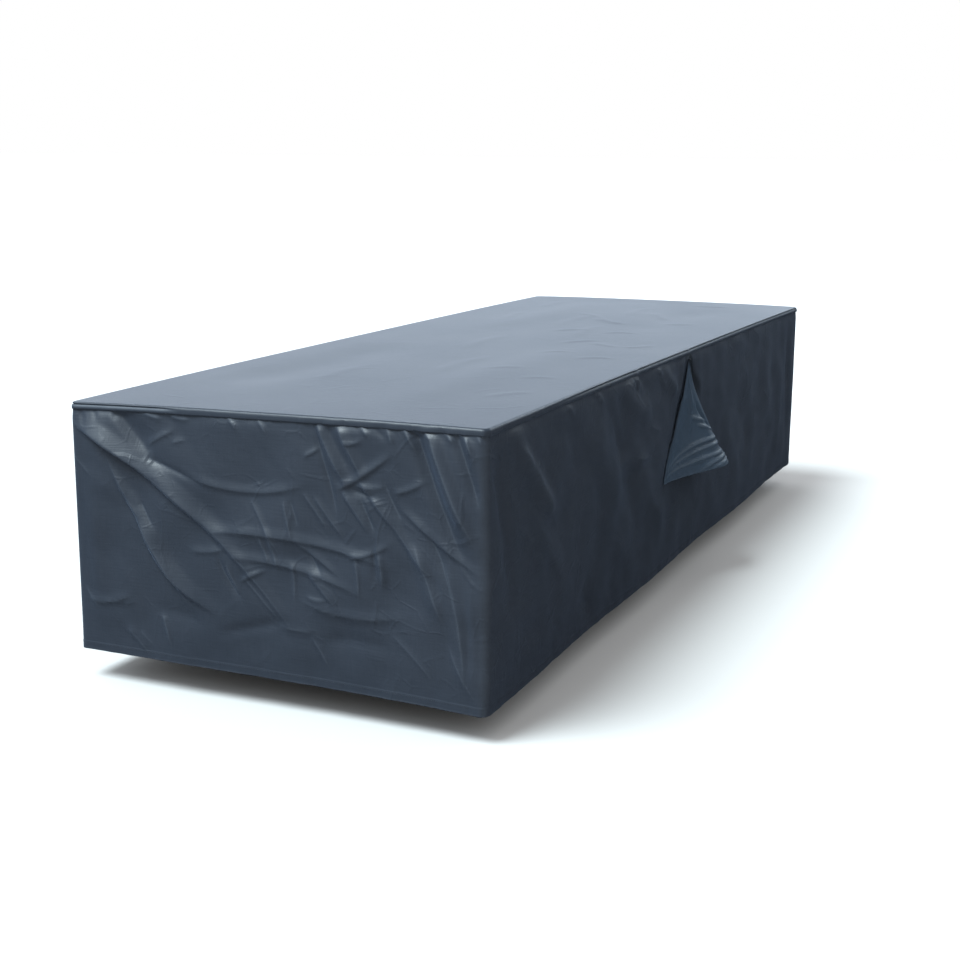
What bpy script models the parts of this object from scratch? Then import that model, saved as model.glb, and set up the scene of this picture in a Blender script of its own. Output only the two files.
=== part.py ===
"""A fitted cover for a lounge chair, open underneath, in the shape that it hangs in.

Metres, +Z up. The origin is on the underside of the top panel, at its middle, where the cover is
carried. +X runs lengthways to the head end, and -Y is the side with the vent hood.

Going round the cover, "around" is the distance from the corner between the plain side and the foot
end: along the foot end, the vent side, the head end and back along the plain side. "down" is the
distance below the seam between the top and the skirt, and "out" the distance outwards.
"""

from math import cos, exp, hypot, log, pi, radians, sin
from typing import NamedTuple

import bmesh
import bpy
from mathutils import Vector

# Driving dimensions
LENGTH = 2.10
WIDTH = 0.76
DROP = 0.432  # from the seam to the hem, before each corner's own share
CLOTH = 0.0020  # coated cloth with its seam allowances
CLEARANCE = 0.0006  # between cloths that are sewn together
CORNER_RADIUS = 0.014

# The top panel is sewn down over the skirt in a narrow strip that runs along its edge.
SHOULDER = 0.004  # how far in from the edge the top panel starts to turn down
EDGE_STRIP = 0.011  # height of the strip
# Each ring of the turned-down edge, as (how far out from the one before, how far down).
EDGE_RINGS = ((SHOULDER * 0.75, 0.0012), (SHOULDER * 0.25, 0.0038), (0.0, EDGE_STRIP - 0.005))
TUCK = CLOTH + CLEARANCE  # how far behind the strip the skirt lies
SKIRT_TOP = 0.0034  # where the skirt's upper edge is, below the seam line
TUCK_END = 0.030  # where the skirt is back in the plane of the strip

# The top sags from its middle to its edges and a little more to each corner.
EDGE_SAG = 0.003
SAG_POWER = 3.0

# The skirt hangs a little out from its seam at half its height, and sways at its hem.
BELLY = 0.004
SWAY = 0.0025
SWAY_PITCH = 0.70  # from one wave of the hem to the next
SWAY_START = 0.15  # how far below the seam it starts
SEAM_REACH = 0.05  # how near a corner seam all this fades out

SIDES = (WIDTH, LENGTH, WIDTH, LENGTH)
HEADINGS = ((0, -1), (1, 0), (0, 1), (-1, 0))
GIRTH = sum(SIDES)
FOOT_END = 0.0
VENT_SIDE = WIDTH
HEAD_END = WIDTH + LENGTH
PLAIN_SIDE = 2 * WIDTH + LENGTH


class Corner(NamedTuple):
    """What makes each corner hang unlike the others."""

    x_side: int
    y_side: int
    lift: float  # of the seam there, and the four lifts add up to nothing
    hem: float  # extra length of the skirt there


CORNERS = (
    Corner(x_side=-1, y_side=1, lift=-0.0055, hem=-0.006),
    Corner(x_side=-1, y_side=-1, lift=0.0085, hem=0.014),
    Corner(x_side=1, y_side=-1, lift=0.0005, hem=-0.002),
    Corner(x_side=1, y_side=1, lift=-0.0035, hem=-0.006),
)


class Fold(NamedTuple):
    """A ridge, or a trough where rise is negative, that runs from start to end past bend."""

    start: tuple  # (around or along, down or across)
    bend: tuple
    end: tuple
    rise: float
    right: float  # half-width on its right or upper side
    left: float  # half-width on its left or lower side


# Where along a fold its height grows and fades, as parts of its length.
FOLD_GROWS = (-0.10, 0.25)
FOLD_FADES = (0.70, 1.10)

# From the left corner of the foot end as one faces it.
FOOT_FOLDS = (
    Fold((0.000, 0.000), (0.008, 0.030), (0.034, 0.052), 0.005, 0.012, 0.010),
    Fold((0.020, 0.042), (0.190, 0.110), (0.420, 0.335), 0.012, 0.036, 0.010),
    Fold((0.040, 0.062), (0.120, 0.160), (0.262, 0.325), 0.009, 0.018, 0.016),
    Fold((0.140, 0.088), (0.300, 0.145), (0.450, 0.108), 0.005, 0.014, 0.012),
    Fold((0.475, 0.020), (0.488, 0.055), (0.525, 0.098), 0.007, 0.012, 0.009),
    Fold((0.512, 0.020), (0.545, 0.075), (0.560, 0.165), 0.005, 0.010, 0.012),
    Fold((0.585, 0.050), (0.640, 0.155), (0.745, 0.205), 0.007, 0.020, 0.012),
    Fold((0.285, 0.200), (0.440, 0.180), (0.590, 0.205), 0.006, 0.016, 0.012),
    Fold((0.320, 0.232), (0.450, 0.240), (0.555, 0.270), 0.005, 0.012, 0.012),
    Fold((0.445, 0.290), (0.530, 0.318), (0.610, 0.296), 0.004, 0.014, 0.012),
    Fold((0.640, 0.015), (0.670, 0.100), (0.712, 0.200), -0.007, 0.016, 0.018),
    Fold((0.672, 0.010), (0.706, 0.090), (0.738, 0.200), 0.012, 0.018, 0.018),
    Fold((0.706, 0.014), (0.732, 0.060), (0.750, 0.120), -0.006, 0.014, 0.014),
    Fold((0.030, 0.340), (0.070, 0.345), (0.110, 0.328), 0.003, 0.014, 0.014),
    Fold((0.110, 0.385), (0.125, 0.400), (0.140, 0.420), 0.005, 0.014, 0.012),
    Fold((0.700, 0.250), (0.715, 0.330), (0.720, 0.420), 0.005, 0.018, 0.018),
)

# From the right corner of the foot end along the vent side, as one faces that side.
VENT_SIDE_FOLDS = (
    Fold((0.045, 0.030), (0.060, 0.140), (0.100, 0.300), -0.007, 0.020, 0.024),
    Fold((0.100, 0.030), (0.190, 0.110), (0.270, 0.175), 0.009, 0.020, 0.026),
    Fold((0.140, 0.150), (0.240, 0.220), (0.330, 0.290), 0.005, 0.024, 0.022),
    Fold((0.440, 0.060), (0.560, 0.180), (0.680, 0.330), 0.006, 0.050, 0.045),
    Fold((0.560, 0.040), (0.640, 0.160), (0.730, 0.330), -0.007, 0.040, 0.040),
    Fold((0.620, 0.030), (0.700, 0.075), (0.800, 0.100), 0.007, 0.030, 0.024),
    Fold((0.600, 0.158), (0.680, 0.172), (0.780, 0.180), 0.004, 0.024, 0.020),
    Fold((0.740, 0.200), (0.800, 0.270), (0.890, 0.340), 0.006, 0.034, 0.030),
    Fold((0.870, 0.025), (0.920, 0.055), (0.970, 0.080), 0.006, 0.020, 0.020),
    Fold((1.240, 0.300), (1.280, 0.350), (1.300, 0.400), 0.005, 0.026, 0.030),
    Fold((1.340, 0.180), (1.420, 0.280), (1.500, 0.350), 0.007, 0.036, 0.036),
    Fold((1.450, 0.150), (1.540, 0.230), (1.620, 0.300), -0.005, 0.036, 0.036),
    Fold((1.700, 0.060), (1.740, 0.200), (1.820, 0.300), 0.006, 0.045, 0.034),
    Fold((1.860, 0.080), (1.900, 0.220), (1.930, 0.400), 0.005, 0.036, 0.036),
    Fold((1.985, 0.020), (2.000, 0.150), (2.020, 0.380), -0.006, 0.026, 0.026),
    Fold((0.420, 0.340), (0.460, 0.380), (0.470, 0.425), -0.006, 0.030, 0.030),
)

# The plain side and the head end hang in a few soft folds of the same kind.
PLAIN_FOLDS = (
    Fold((0.130, 0.040), (0.200, 0.200), (0.240, 0.390), 0.007, 0.040, 0.040),
    Fold((0.480, 0.060), (0.520, 0.220), (0.500, 0.410), -0.006, 0.045, 0.045),
    Fold((0.860, 0.050), (1.000, 0.200), (1.060, 0.380), 0.008, 0.060, 0.050),
    Fold((1.350, 0.060), (1.300, 0.220), (1.330, 0.400), 0.007, 0.055, 0.060),
    Fold((1.820, 0.050), (1.760, 0.180), (1.700, 0.380), -0.006, 0.060, 0.060),
    Fold((2.300, 0.040), (2.380, 0.200), (2.420, 0.400), 0.008, 0.060, 0.055),
)

# On the top, as (x, y). They fade out short of its edges and of its middle, which bears the mount.
TOP_FOLD_ENDS_X = (0.86, 1.02)
TOP_FOLD_ENDS_Y = (0.27, 0.36)
TOP_FOLD_START = (0.03, 0.20)
TOP_FOLDS = (
    Fold((-0.900, -0.180), (-0.450, -0.120), (-0.050, -0.200), 0.003, 0.070, 0.060),
    Fold((0.150, 0.180), (0.520, 0.100), (0.900, 0.160), 0.004, 0.070, 0.070),
    Fold((0.250, -0.220), (0.500, -0.120), (0.840, -0.240), -0.003, 0.060, 0.060),
    Fold((-0.800, 0.240), (-0.450, 0.160), (-0.150, 0.240), -0.0045, 0.070, 0.070),
)

# The vent hood: a triangular flap, sewn along both slanted edges, with its mouth below.
HOOD_MIDDLE = 1.045  # along the vent side
HOOD_TOP = 0.020
HOOD_HEIGHT = 0.234
HOOD_HALF_WIDTH = 0.165
HOOD_APEX_HALF_WIDTH = 0.004
HOOD_BULGE = 0.072
HOOD_BULGE_POWER = 1.25  # how late the hood opens
HOOD_PEAK = 0.70  # where across it the hood stands out most
HOOD_RIGHT_SAG = 0.012
HOOD_STAND = 0.0010  # how far its sewn edges stay off the skirt, which bends a little under them


class Run(NamedTuple):
    """A stretch of the skirt and the number of columns across it."""

    start: float
    end: float
    steps: int


def corner_run(around):
    return Run(around - CORNER_RADIUS, around + CORNER_RADIUS, 4)


def side_run(start, length, steps, gap_before=0.0, gap_after=0.0):
    return Run(
        start + CORNER_RADIUS + gap_before, start + length - CORNER_RADIUS - gap_after, steps
    )


# The nearer piece of the skirt wraps the foot end and the vent side, and the other piece the rest.
NEAR_RUNS = (
    corner_run(FOOT_END),
    side_run(FOOT_END, WIDTH, 42),
    corner_run(VENT_SIDE),
    side_run(VENT_SIDE, LENGTH, 54),
    corner_run(HEAD_END),
)
FAR_RUNS = (
    side_run(HEAD_END, WIDTH, 12, gap_before=CLEARANCE),
    corner_run(PLAIN_SIDE),
    side_run(PLAIN_SIDE, LENGTH, 30, gap_after=CLEARANCE),
)
NEAR_ROWS = 20
FAR_ROWS = 10
TOP_STEPS_LONG = 32
TOP_STEPS_WIDE = 12
HOOD_COLUMNS = 14
HOOD_ROWS = 12

COVER_BLUE = (0.030, 0.045, 0.070, 1.0)
HOOD_BLUE = (0.032, 0.055, 0.090, 1.0)
CLOTH_ROUGHNESS = 0.45


def smooth(value, start, end):
    """0 before start, 1 after end, and an S-curve between."""
    t = min(max((value - start) / (end - start), 0.0), 1.0)
    return t * t * (3 - 2 * t)


def fold_line(fold, steps=12):
    """Points along a fold: a curve that starts and ends at its ends and leans to its bend."""
    points = []
    for step in range(steps + 1):
        t = step / steps
        weights = ((1 - t) ** 2, 2 * t * (1 - t), t**2)
        ends = (fold.start, fold.bend, fold.end)
        points.append(tuple(sum(w * p[axis] for w, p in zip(weights, ends)) for axis in (0, 1)))
    return points


def fold_lines(folds):
    return [(fold, fold_line(fold)) for fold in folds]


def rise_at(lined_folds, a, b):
    """The height that all folds together give the point (a, b)."""
    total = 0.0
    for fold, line in lined_folds:
        reach = 3 * max(fold.right, fold.left)
        best = reach
        side = 0.0
        place = 0.0
        for step, (p, q) in enumerate(zip(line, line[1:])):
            run = (q[0] - p[0], q[1] - p[1])
            length = hypot(*run)
            along = ((a - p[0]) * run[0] + (b - p[1]) * run[1]) / length**2
            t = min(max(along, 0.0), 1.0)
            away = (a - p[0] - t * run[0], b - p[1] - t * run[1])
            distance = hypot(*away)
            if distance < best:
                best = distance
                side = away[0] * run[1] - away[1] * run[0]
                place = (step + t) / (len(line) - 1)
        if best < reach:
            width = fold.right if side > 0 else fold.left
            ends = smooth(place, *FOLD_GROWS) * (1 - smooth(place, *FOLD_FADES))
            total += fold.rise * ends * exp(-((best / width) ** 2))
    return total


NEAR_LINES = fold_lines(FOOT_FOLDS) + [
    (fold, [(VENT_SIDE + a, b) for a, b in line]) for fold, line in fold_lines(VENT_SIDE_FOLDS)
]
FAR_LINES = [
    (fold, [(HEAD_END + a, b) for a, b in line]) for fold, line in fold_lines(PLAIN_FOLDS)
]
TOP_LINES = fold_lines(TOP_FOLDS)


def rim_point(around, inset=0.0):
    """(x, y) on the rounded outline of the cover, and the direction outwards there."""
    around %= GIRTH
    side = 0
    while around > SIDES[side]:
        around -= SIDES[side]
        side += 1
    hx, hy = HEADINGS[side]
    nx, ny = hy, -hx
    corner = CORNERS[side]
    x, y = corner.x_side * LENGTH / 2, corner.y_side * WIDTH / 2
    before, after = around, SIDES[side] - around
    to_corner = min(before, after)
    if to_corner >= CORNER_RADIUS:
        return x + hx * around - nx * inset, y + hy * around - ny * inset, nx, ny
    turn = radians(45) * (1 - to_corner / CORNER_RADIUS) * (1 if after < before else -1)
    along = SIDES[side] - CORNER_RADIUS if after < before else CORNER_RADIUS
    dx, dy = nx * cos(turn) + hx * sin(turn), ny * cos(turn) + hy * sin(turn)
    radius = CORNER_RADIUS - inset
    return (
        x + hx * along - nx * CORNER_RADIUS + dx * radius,
        y + hy * along - ny * CORNER_RADIUS + dy * radius,
        dx,
        dy,
    )


def corner_share(corner, x, y):
    """How much of this corner's own hang reaches (x, y)."""
    return (0.5 + corner.x_side * x / LENGTH) * (0.5 + corner.y_side * y / WIDTH)


def top_height(x, y):
    sag = EDGE_SAG * (abs(2 * x / LENGTH) ** SAG_POWER + abs(2 * y / WIDTH) ** SAG_POWER)
    lift = sum(corner.lift * corner_share(corner, x, y) for corner in CORNERS)
    inside = (1 - smooth(abs(x), *TOP_FOLD_ENDS_X)) * (1 - smooth(abs(y), *TOP_FOLD_ENDS_Y))
    folds = rise_at(TOP_LINES, x, y) * inside * smooth(hypot(x, y), *TOP_FOLD_START)
    return CLOTH / 2 - sag + lift + folds


def skirt_length(x, y):
    return DROP + sum(corner.hem * corner_share(corner, x, y) for corner in CORNERS)


def skirt_out(around, down):
    """How far the skirt stands out from its outline at this height."""
    tucked = 1 - smooth(down, EDGE_STRIP, TUCK_END)
    far_piece = HEAD_END + CORNER_RADIUS < around < GIRTH - CORNER_RADIUS
    start, end = (HEAD_END, GIRTH) if far_piece else (FOOT_END, HEAD_END)
    seams = smooth(around, start, start + SEAM_REACH) * (1 - smooth(around, end - SEAM_REACH, end))
    belly = BELLY * sin(pi * min(down / DROP, 1.0))
    sway = SWAY * sin(2 * pi * around / SWAY_PITCH) * smooth(down, SWAY_START, DROP)
    folds = rise_at(FAR_LINES if far_piece else NEAR_LINES, around, down)
    return -TUCK * tucked + (1 - tucked) * seams * (belly + sway + folds)


def skirt_point(around, down, out=0.0):
    """A point on the middle of the skirt's cloth, or this far outside it."""
    x, y, nx, ny = rim_point(around, CLOTH / 2)
    z = top_height(x, y) - down * skirt_length(x, y) / DROP
    out += skirt_out(around, down)
    return x + nx * out, y + ny * out, z


def evenly(start, end, steps):
    return [start + (end - start) * step / steps for step in range(steps + 1)]


def columns_of(runs):
    columns = [runs[0].start]
    for run in runs:
        columns += evenly(run.start, run.end, run.steps)[1:]
    return columns


def rows_of(count):
    """Close together where the skirt comes out from behind the strip, then even."""
    first = [SKIRT_TOP, EDGE_STRIP, (EDGE_STRIP + TUCK_END) / 2]
    return first + evenly(TUCK_END, DROP, count - len(first))


def cloth_material(name, colour):
    material = bpy.data.materials.new(name)
    material.use_nodes = True
    shader = material.node_tree.nodes["Principled BSDF"]
    shader.inputs["Base Color"].default_value = colour
    shader.inputs["Roughness"].default_value = CLOTH_ROUGHNESS
    shader.inputs["Metallic"].default_value = 0.0
    return material


def add_sheet(name, bm, colour, collection):
    """Makes an object of an open surface, given the cloth's thickness on both sides of it."""
    bmesh.ops.recalc_face_normals(bm, faces=bm.faces)
    mesh = bpy.data.meshes.new(name)
    bm.to_mesh(mesh)
    bm.free()
    mesh.shade_smooth()
    mesh.materials.append(cloth_material(name, colour))
    sheet = bpy.data.objects.new(name, mesh)
    collection.objects.link(sheet)
    solidify = sheet.modifiers.new("Cloth", "SOLIDIFY")
    solidify.thickness = CLOTH
    solidify.offset = 0.0
    return sheet


def grid_sheet(columns, rows, point_of):
    """A grid with a vertex for each column and row, placed by point_of(column, row)."""
    bm = bmesh.new()
    x_steps, y_steps = len(columns) - 1, len(rows) - 1
    bmesh.ops.create_grid(bm, x_segments=x_steps, y_segments=y_steps, size=1.0)
    for vertex in bm.verts:
        column = round((vertex.co.x + 1) / 2 * x_steps)
        row = round((vertex.co.y + 1) / 2 * y_steps)
        vertex.co = point_of(columns[column], rows[row])
    return bm


def add_skirt(name, runs, rows, collection):
    bm = grid_sheet(columns_of(runs), rows_of(rows), skirt_point)
    return add_sheet(name, bm, COVER_BLUE, collection)


def rounded(x, y, half_length, half_width, radius):
    """(x, y) of a rectangle's grid, moved so that the rectangle's corners are round."""
    px = abs(x) - (half_length - radius)
    py = abs(y) - (half_width - radius)
    if px <= 0 or py <= 0:
        return x, y
    scale = max(px, py) / hypot(px, py)
    new_x = half_length - radius + px * scale
    new_y = half_width - radius + py * scale
    return (new_x if x > 0 else -new_x), (new_y if y > 0 else -new_y)


def rim_direction(x, y):
    """The direction outwards at a point on the top panel's edge."""
    px = max(abs(x) - (LENGTH / 2 - CORNER_RADIUS), 0.0)
    py = max(abs(y) - (WIDTH / 2 - CORNER_RADIUS), 0.0)
    size = hypot(px, py)
    return (px / size if x > 0 else -px / size), (py / size if y > 0 else -py / size)


def add_top(collection):
    inset = SHOULDER + CLOTH / 2
    half_length, half_width = LENGTH / 2 - inset, WIDTH / 2 - inset
    radius = CORNER_RADIUS - inset

    def edge_columns(half, steps):
        inner = half - radius
        return [-half, -half + radius / 2, *evenly(-inner, inner, steps), half - radius / 2, half]

    def point(x, y):
        x, y = rounded(x, y, half_length, half_width, radius)
        return x, y, top_height(x, y)

    bm = grid_sheet(
        edge_columns(half_length, TOP_STEPS_LONG), edge_columns(half_width, TOP_STEPS_WIDE), point
    )
    rim = [edge for edge in bm.edges if edge.is_boundary]
    for out, down in EDGE_RINGS:
        ring = bmesh.ops.extrude_edge_only(bm, edges=rim)["geom"]
        for vertex in (item for item in ring if isinstance(item, bmesh.types.BMVert)):
            nx, ny = rim_direction(vertex.co.x, vertex.co.y)
            vertex.co += Vector((nx * out, ny * out, -down))
        rim = [item for item in ring if isinstance(item, bmesh.types.BMEdge) and item.is_boundary]
    return add_sheet("top_panel", bm, COVER_BLUE, collection)


def hood_point(across, fall):
    """A point of the hood: across it from 0 to 1, and from its apex, 0, to its mouth, 1."""
    half = HOOD_APEX_HALF_WIDTH + (HOOD_HALF_WIDTH - HOOD_APEX_HALF_WIDTH) * fall
    around = VENT_SIDE + HOOD_MIDDLE + (2 * across - 1) * half
    down = HOOD_TOP + HOOD_HEIGHT * fall + HOOD_RIGHT_SAG * across * fall
    # sin(pi * t) is highest at t = 0.5, and this power of across is 0.5 at HOOD_PEAK.
    skew = log(0.5) / log(HOOD_PEAK)
    bulge = HOOD_BULGE * fall**HOOD_BULGE_POWER * sin(pi * across**skew)
    return skirt_point(around, down, out=CLOTH + HOOD_STAND + bulge)


def add_hood(collection):
    bm = grid_sheet(evenly(0, 1, HOOD_COLUMNS), evenly(0, 1, HOOD_ROWS), hood_point)
    return add_sheet("vent_hood", bm, HOOD_BLUE, collection)


def main():
    for obj in list(bpy.data.objects):
        bpy.data.objects.remove(obj)
    cover = bpy.data.collections.new("Lounge chair cover")
    bpy.context.scene.collection.children.link(cover)
    add_top(cover)
    add_skirt("near_skirt", NEAR_RUNS, NEAR_ROWS, cover)
    add_skirt("far_skirt", FAR_RUNS, FAR_ROWS, cover)
    add_hood(cover)


main()
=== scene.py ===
# %% [markdown]
# # A fitted cover for a lounge chair
#
# The real cover is a box sewn from coated polyester: one rectangle for the top, two lengths that make
# the skirt round it, and a triangular hood over the vent in the middle of one long side. Each cloth is
# made here as a fine sheet on the folds of its solid, with the creases, puckers, hems and stitches
# that the solid leaves out.

from math import cos, hypot, log, pi, radians, sin
from typing import NamedTuple

import bmesh
import bpy
import numpy as np
from mathutils import Matrix, Vector


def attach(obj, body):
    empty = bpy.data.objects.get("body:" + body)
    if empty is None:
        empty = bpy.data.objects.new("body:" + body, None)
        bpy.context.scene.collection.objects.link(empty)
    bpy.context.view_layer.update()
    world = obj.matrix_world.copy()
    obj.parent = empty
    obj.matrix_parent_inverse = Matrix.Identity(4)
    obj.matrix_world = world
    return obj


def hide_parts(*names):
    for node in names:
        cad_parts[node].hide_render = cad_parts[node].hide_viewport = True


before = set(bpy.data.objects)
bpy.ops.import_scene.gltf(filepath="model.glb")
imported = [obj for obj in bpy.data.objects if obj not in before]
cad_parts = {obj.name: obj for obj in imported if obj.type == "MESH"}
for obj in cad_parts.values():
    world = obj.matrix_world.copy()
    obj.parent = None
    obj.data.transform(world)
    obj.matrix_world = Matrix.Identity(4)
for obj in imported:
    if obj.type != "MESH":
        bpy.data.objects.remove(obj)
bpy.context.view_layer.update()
print("solids:", sorted(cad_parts))

# %% [markdown]
# ## The camera
#
# The camera stands low and close to the foot end, as someone would who shows the whole cover. It is
# placed by its heading, its pitch and a slight roll, and the three axes are built from those.

# %% The camera
CAMERA_PLACE = Vector((-3.0373, -1.2412, 0.4009))
CAMERA_HEADING = radians(23.721)
CAMERA_PITCH = radians(-12.289)
CAMERA_ROLL = radians(0.417)
CAMERA_LENS = 56.57


def camera_turn():
    """The camera's axes as a rotation: right, up and back."""
    flat = Vector((cos(CAMERA_HEADING), sin(CAMERA_HEADING), 0))
    ahead = flat * cos(CAMERA_PITCH) + Vector((0, 0, sin(CAMERA_PITCH)))
    level = Vector((sin(CAMERA_HEADING), -cos(CAMERA_HEADING), 0))
    upright = level.cross(ahead)
    right = level * cos(CAMERA_ROLL) + upright * sin(CAMERA_ROLL)
    up = upright * cos(CAMERA_ROLL) - level * sin(CAMERA_ROLL)
    return Matrix((right, up, -ahead)).transposed()


camera_data = bpy.data.cameras.new("Camera")
camera_data.lens = CAMERA_LENS
camera_data.sensor_width = 36
camera = bpy.data.objects.new("Camera", camera_data)
camera.matrix_world = Matrix.Translation(CAMERA_PLACE) @ camera_turn().to_4x4()
bpy.context.scene.collection.objects.link(camera)
bpy.context.scene.camera = camera
bpy.context.scene.view_settings.view_transform = "Standard"

# %% [markdown]
# ## The light
#
# A cover is a large dark thing with a satin coat, so most of what one sees on it is the light that it
# reflects. A very wide sun from above and from the left of the camera brightens the foot end and the
# upper side of each fold, and leaves the long side in shade. Three large softboxes stand where the
# coat mirrors them: "back" gives the top its pale, cool sheen, "window" lights the folds of the foot
# end, and "right" draws the pale line along the turned edge of the long side. A small lamp would draw
# hard dots on every crease. The room and the floor light the cloth but aren't mirrored in it.

# %% The key light and the softboxes
KEY_PLACE = Vector((-2.6, 1.9, 5.3))
KEY_STRENGTH = 6.0
KEY_ANGLE = radians(28)
KEY_COLOUR = (0.84, 0.96, 1.0)


class Softbox(NamedTuple):
    """A large flat lamp that looks at the cover, and is left out of the picture."""

    name: str
    place: tuple
    width: float
    height: float
    watts: float
    colour: tuple


SOFTBOXES = (
    Softbox("back", (5.0, 3.4, 1.8), 9.0, 3.2, 196, (0.79, 0.89, 1.0)),
    Softbox("window", (-4.6, 3.5, 3.7), 8.0, 3.0, 145, (0.78, 0.92, 1.0)),
    Softbox("right", (6.0, -1.9, 2.5), 4.4, 2.4, 100, (0.80, 0.92, 1.0)),
)


def add_light(name, kind, place):
    """A light that looks from its place to the middle of the cover."""
    data = bpy.data.lights.new(name, kind)
    lamp = bpy.data.objects.new(name, data)
    lamp.location = place
    lamp.rotation_euler = (-Vector(place)).to_track_quat("-Z", "Y").to_euler()
    bpy.context.scene.collection.objects.link(lamp)
    return lamp, data


_, key_data = add_light("key", "SUN", KEY_PLACE)
key_data.energy = KEY_STRENGTH
key_data.angle = KEY_ANGLE
key_data.color = KEY_COLOUR
for box in SOFTBOXES:
    lamp, data = add_light(box.name, "AREA", box.place)
    data.shape = "RECTANGLE"
    data.size = box.width
    data.size_y = box.height
    data.energy = box.watts
    data.color = box.colour
    lamp.visible_camera = False
    print(box.name, "light", round(Vector(box.place).length, 1), "m away")

# %% The room and its floor
FLOOR_Z = -0.489
FLOOR_SIDE = 400.0
FLOOR_COLOUR = (0.46, 0.46, 0.46, 1.0)
ROOM_COLOUR = (1.0, 1.0, 1.0, 1.0)

world = bpy.data.worlds.new("Studio")
world.use_nodes = True
world.node_tree.nodes["Background"].inputs["Color"].default_value = ROOM_COLOUR
world.cycles_visibility.glossy = False
bpy.context.scene.world = world

floor_form = bmesh.new()
bmesh.ops.create_grid(floor_form, x_segments=1, y_segments=1, size=FLOOR_SIDE / 2)
bmesh.ops.translate(floor_form, verts=floor_form.verts, vec=(0, 0, FLOOR_Z))
floor_mesh = bpy.data.meshes.new("floor")
floor_form.to_mesh(floor_mesh)
floor_form.free()
floor = bpy.data.objects.new("floor", floor_mesh)
floor.visible_glossy = False
bpy.context.scene.collection.objects.link(floor)
floor_paint = bpy.data.materials.new("floor paint")
floor_paint.use_nodes = True
floor_shader = floor_paint.node_tree.nodes["Principled BSDF"]
floor_shader.inputs["Base Color"].default_value = FLOOR_COLOUR
floor_shader.inputs["Roughness"].default_value = 1.0
floor_shader.inputs["Specular IOR Level"].default_value = 0.0
floor_mesh.materials.append(floor_paint)

# %% [markdown]
# ## Going round the cover
#
# Every cloth is placed by two numbers, as a sewer would measure it: "around", the distance along the
# edge of the top from the corner between the plain side and the foot end, and "down", the distance
# below the seam. One function turns them into a point in space. It works on whole arrays, because the
# skirt has tens of thousands of points. The corners hang unevenly, so each has its own lift and its
# own share of extra length.

# %% The sizes of the cover
LENGTH = 2.10
WIDTH = 0.76
DROP = 0.432
GIRTH = 2 * (LENGTH + WIDTH)
FOOT_END = 0.0
VENT_SIDE = WIDTH
HEAD_END = WIDTH + LENGTH
PLAIN_SIDE = 2 * WIDTH + LENGTH
CORNER_RADIUS = 0.014
CLOTH = 0.0012
SOLID_CLOTH = 0.0020
TUCK = 0.0013
BELLY = 0.004
SWAY = 0.0025
SWAY_PITCH = 0.70
SWAY_START = 0.15
SEAM_REACH = 0.05
EDGE_SAG = 0.003
SAG_POWER = 3.0


class Corner(NamedTuple):
    x_side: int
    y_side: int
    lift: float
    extra: float


CORNERS = (
    Corner(-1, 1, lift=-0.0055, extra=-0.006),
    Corner(-1, -1, lift=0.0085, extra=0.014),
    Corner(1, -1, lift=0.0005, extra=-0.002),
    Corner(1, 1, lift=-0.0035, extra=-0.006),
)
print("the skirt is", GIRTH, "m round and about", DROP, "m deep")


# %% Points along the edge
SIDE_LENGTHS = np.array((WIDTH, LENGTH, WIDTH, LENGTH))
SIDE_STARTS = np.array((FOOT_END, VENT_SIDE, HEAD_END, PLAIN_SIDE))
HEADINGS = np.array(((0, -1), (1, 0), (0, 1), (-1, 0)))
CORNER_PLACES = np.array([(c.x_side * LENGTH / 2, c.y_side * WIDTH / 2) for c in CORNERS])


def smooth(value, start, end):
    """0 before start, 1 after end, and an S-curve between."""
    t = np.clip((value - start) / (end - start), 0.0, 1.0)
    return t * t * (3 - 2 * t)


def rim(around, inset):
    """The points this far inside the edge, as (x, y), and the directions outwards there."""
    around = np.mod(around, GIRTH)
    side = np.searchsorted(SIDE_STARTS, around, side="right") - 1
    before = around - SIDE_STARTS[side]
    after = SIDE_LENGTHS[side] - before
    heading = HEADINGS[side]
    facing = np.stack([heading[..., 1], -heading[..., 0]], axis=-1)
    in_corner = np.minimum(before, after) < CORNER_RADIUS
    ending = after < before
    turn = radians(45) * (1 - np.minimum(before, after) / CORNER_RADIUS)
    turn = np.where(in_corner, np.where(ending, turn, -turn), 0.0)[..., None]
    end = np.where(ending, SIDE_LENGTHS[side] - CORNER_RADIUS, CORNER_RADIUS)
    along = np.where(in_corner, end, before)[..., None]
    outwards = facing * np.cos(turn) + heading * np.sin(turn)
    radius = CORNER_RADIUS - np.broadcast_to(inset, around.shape)[..., None]
    place = CORNER_PLACES[side] + heading * along - facing * CORNER_RADIUS + outwards * radius
    return place, outwards


def share(corner, x, y):
    """How much of this corner's own hang reaches (x, y)."""
    return (0.5 + corner.x_side * x / LENGTH) * (0.5 + corner.y_side * y / WIDTH)


test_place = rim(np.array([0.0, WIDTH / 2, WIDTH]), 0.0)[0]
print("corner, middle and corner of the foot end:", test_place.round(3).tolist())


# %% [markdown]
# ## Folds and creases
#
# Coated cloth doesn't fold softly all over. It keeps the sharp creases it got in its bag, hangs in a
# few long soft folds from the corners, and puckers where a seam is tight. Each fold is one row of a
# table: a curved line, how far it stands out, how wide it is on each side, and how crisp its top is.
# A crisp fold falls off like a flat facet beside a sharp line, and a soft one is a round swelling. The
# first rows of a table are the main folds of the solid, and the rest are the finer creases.


# %% A fold, and the height that a table of folds gives
class Fold(NamedTuple):
    """A ridge from start past bend to end, or a trough where rise is negative."""

    start: tuple
    bend: tuple
    end: tuple
    rise: float
    right: float
    left: float
    crisp: float = 0.0


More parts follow.
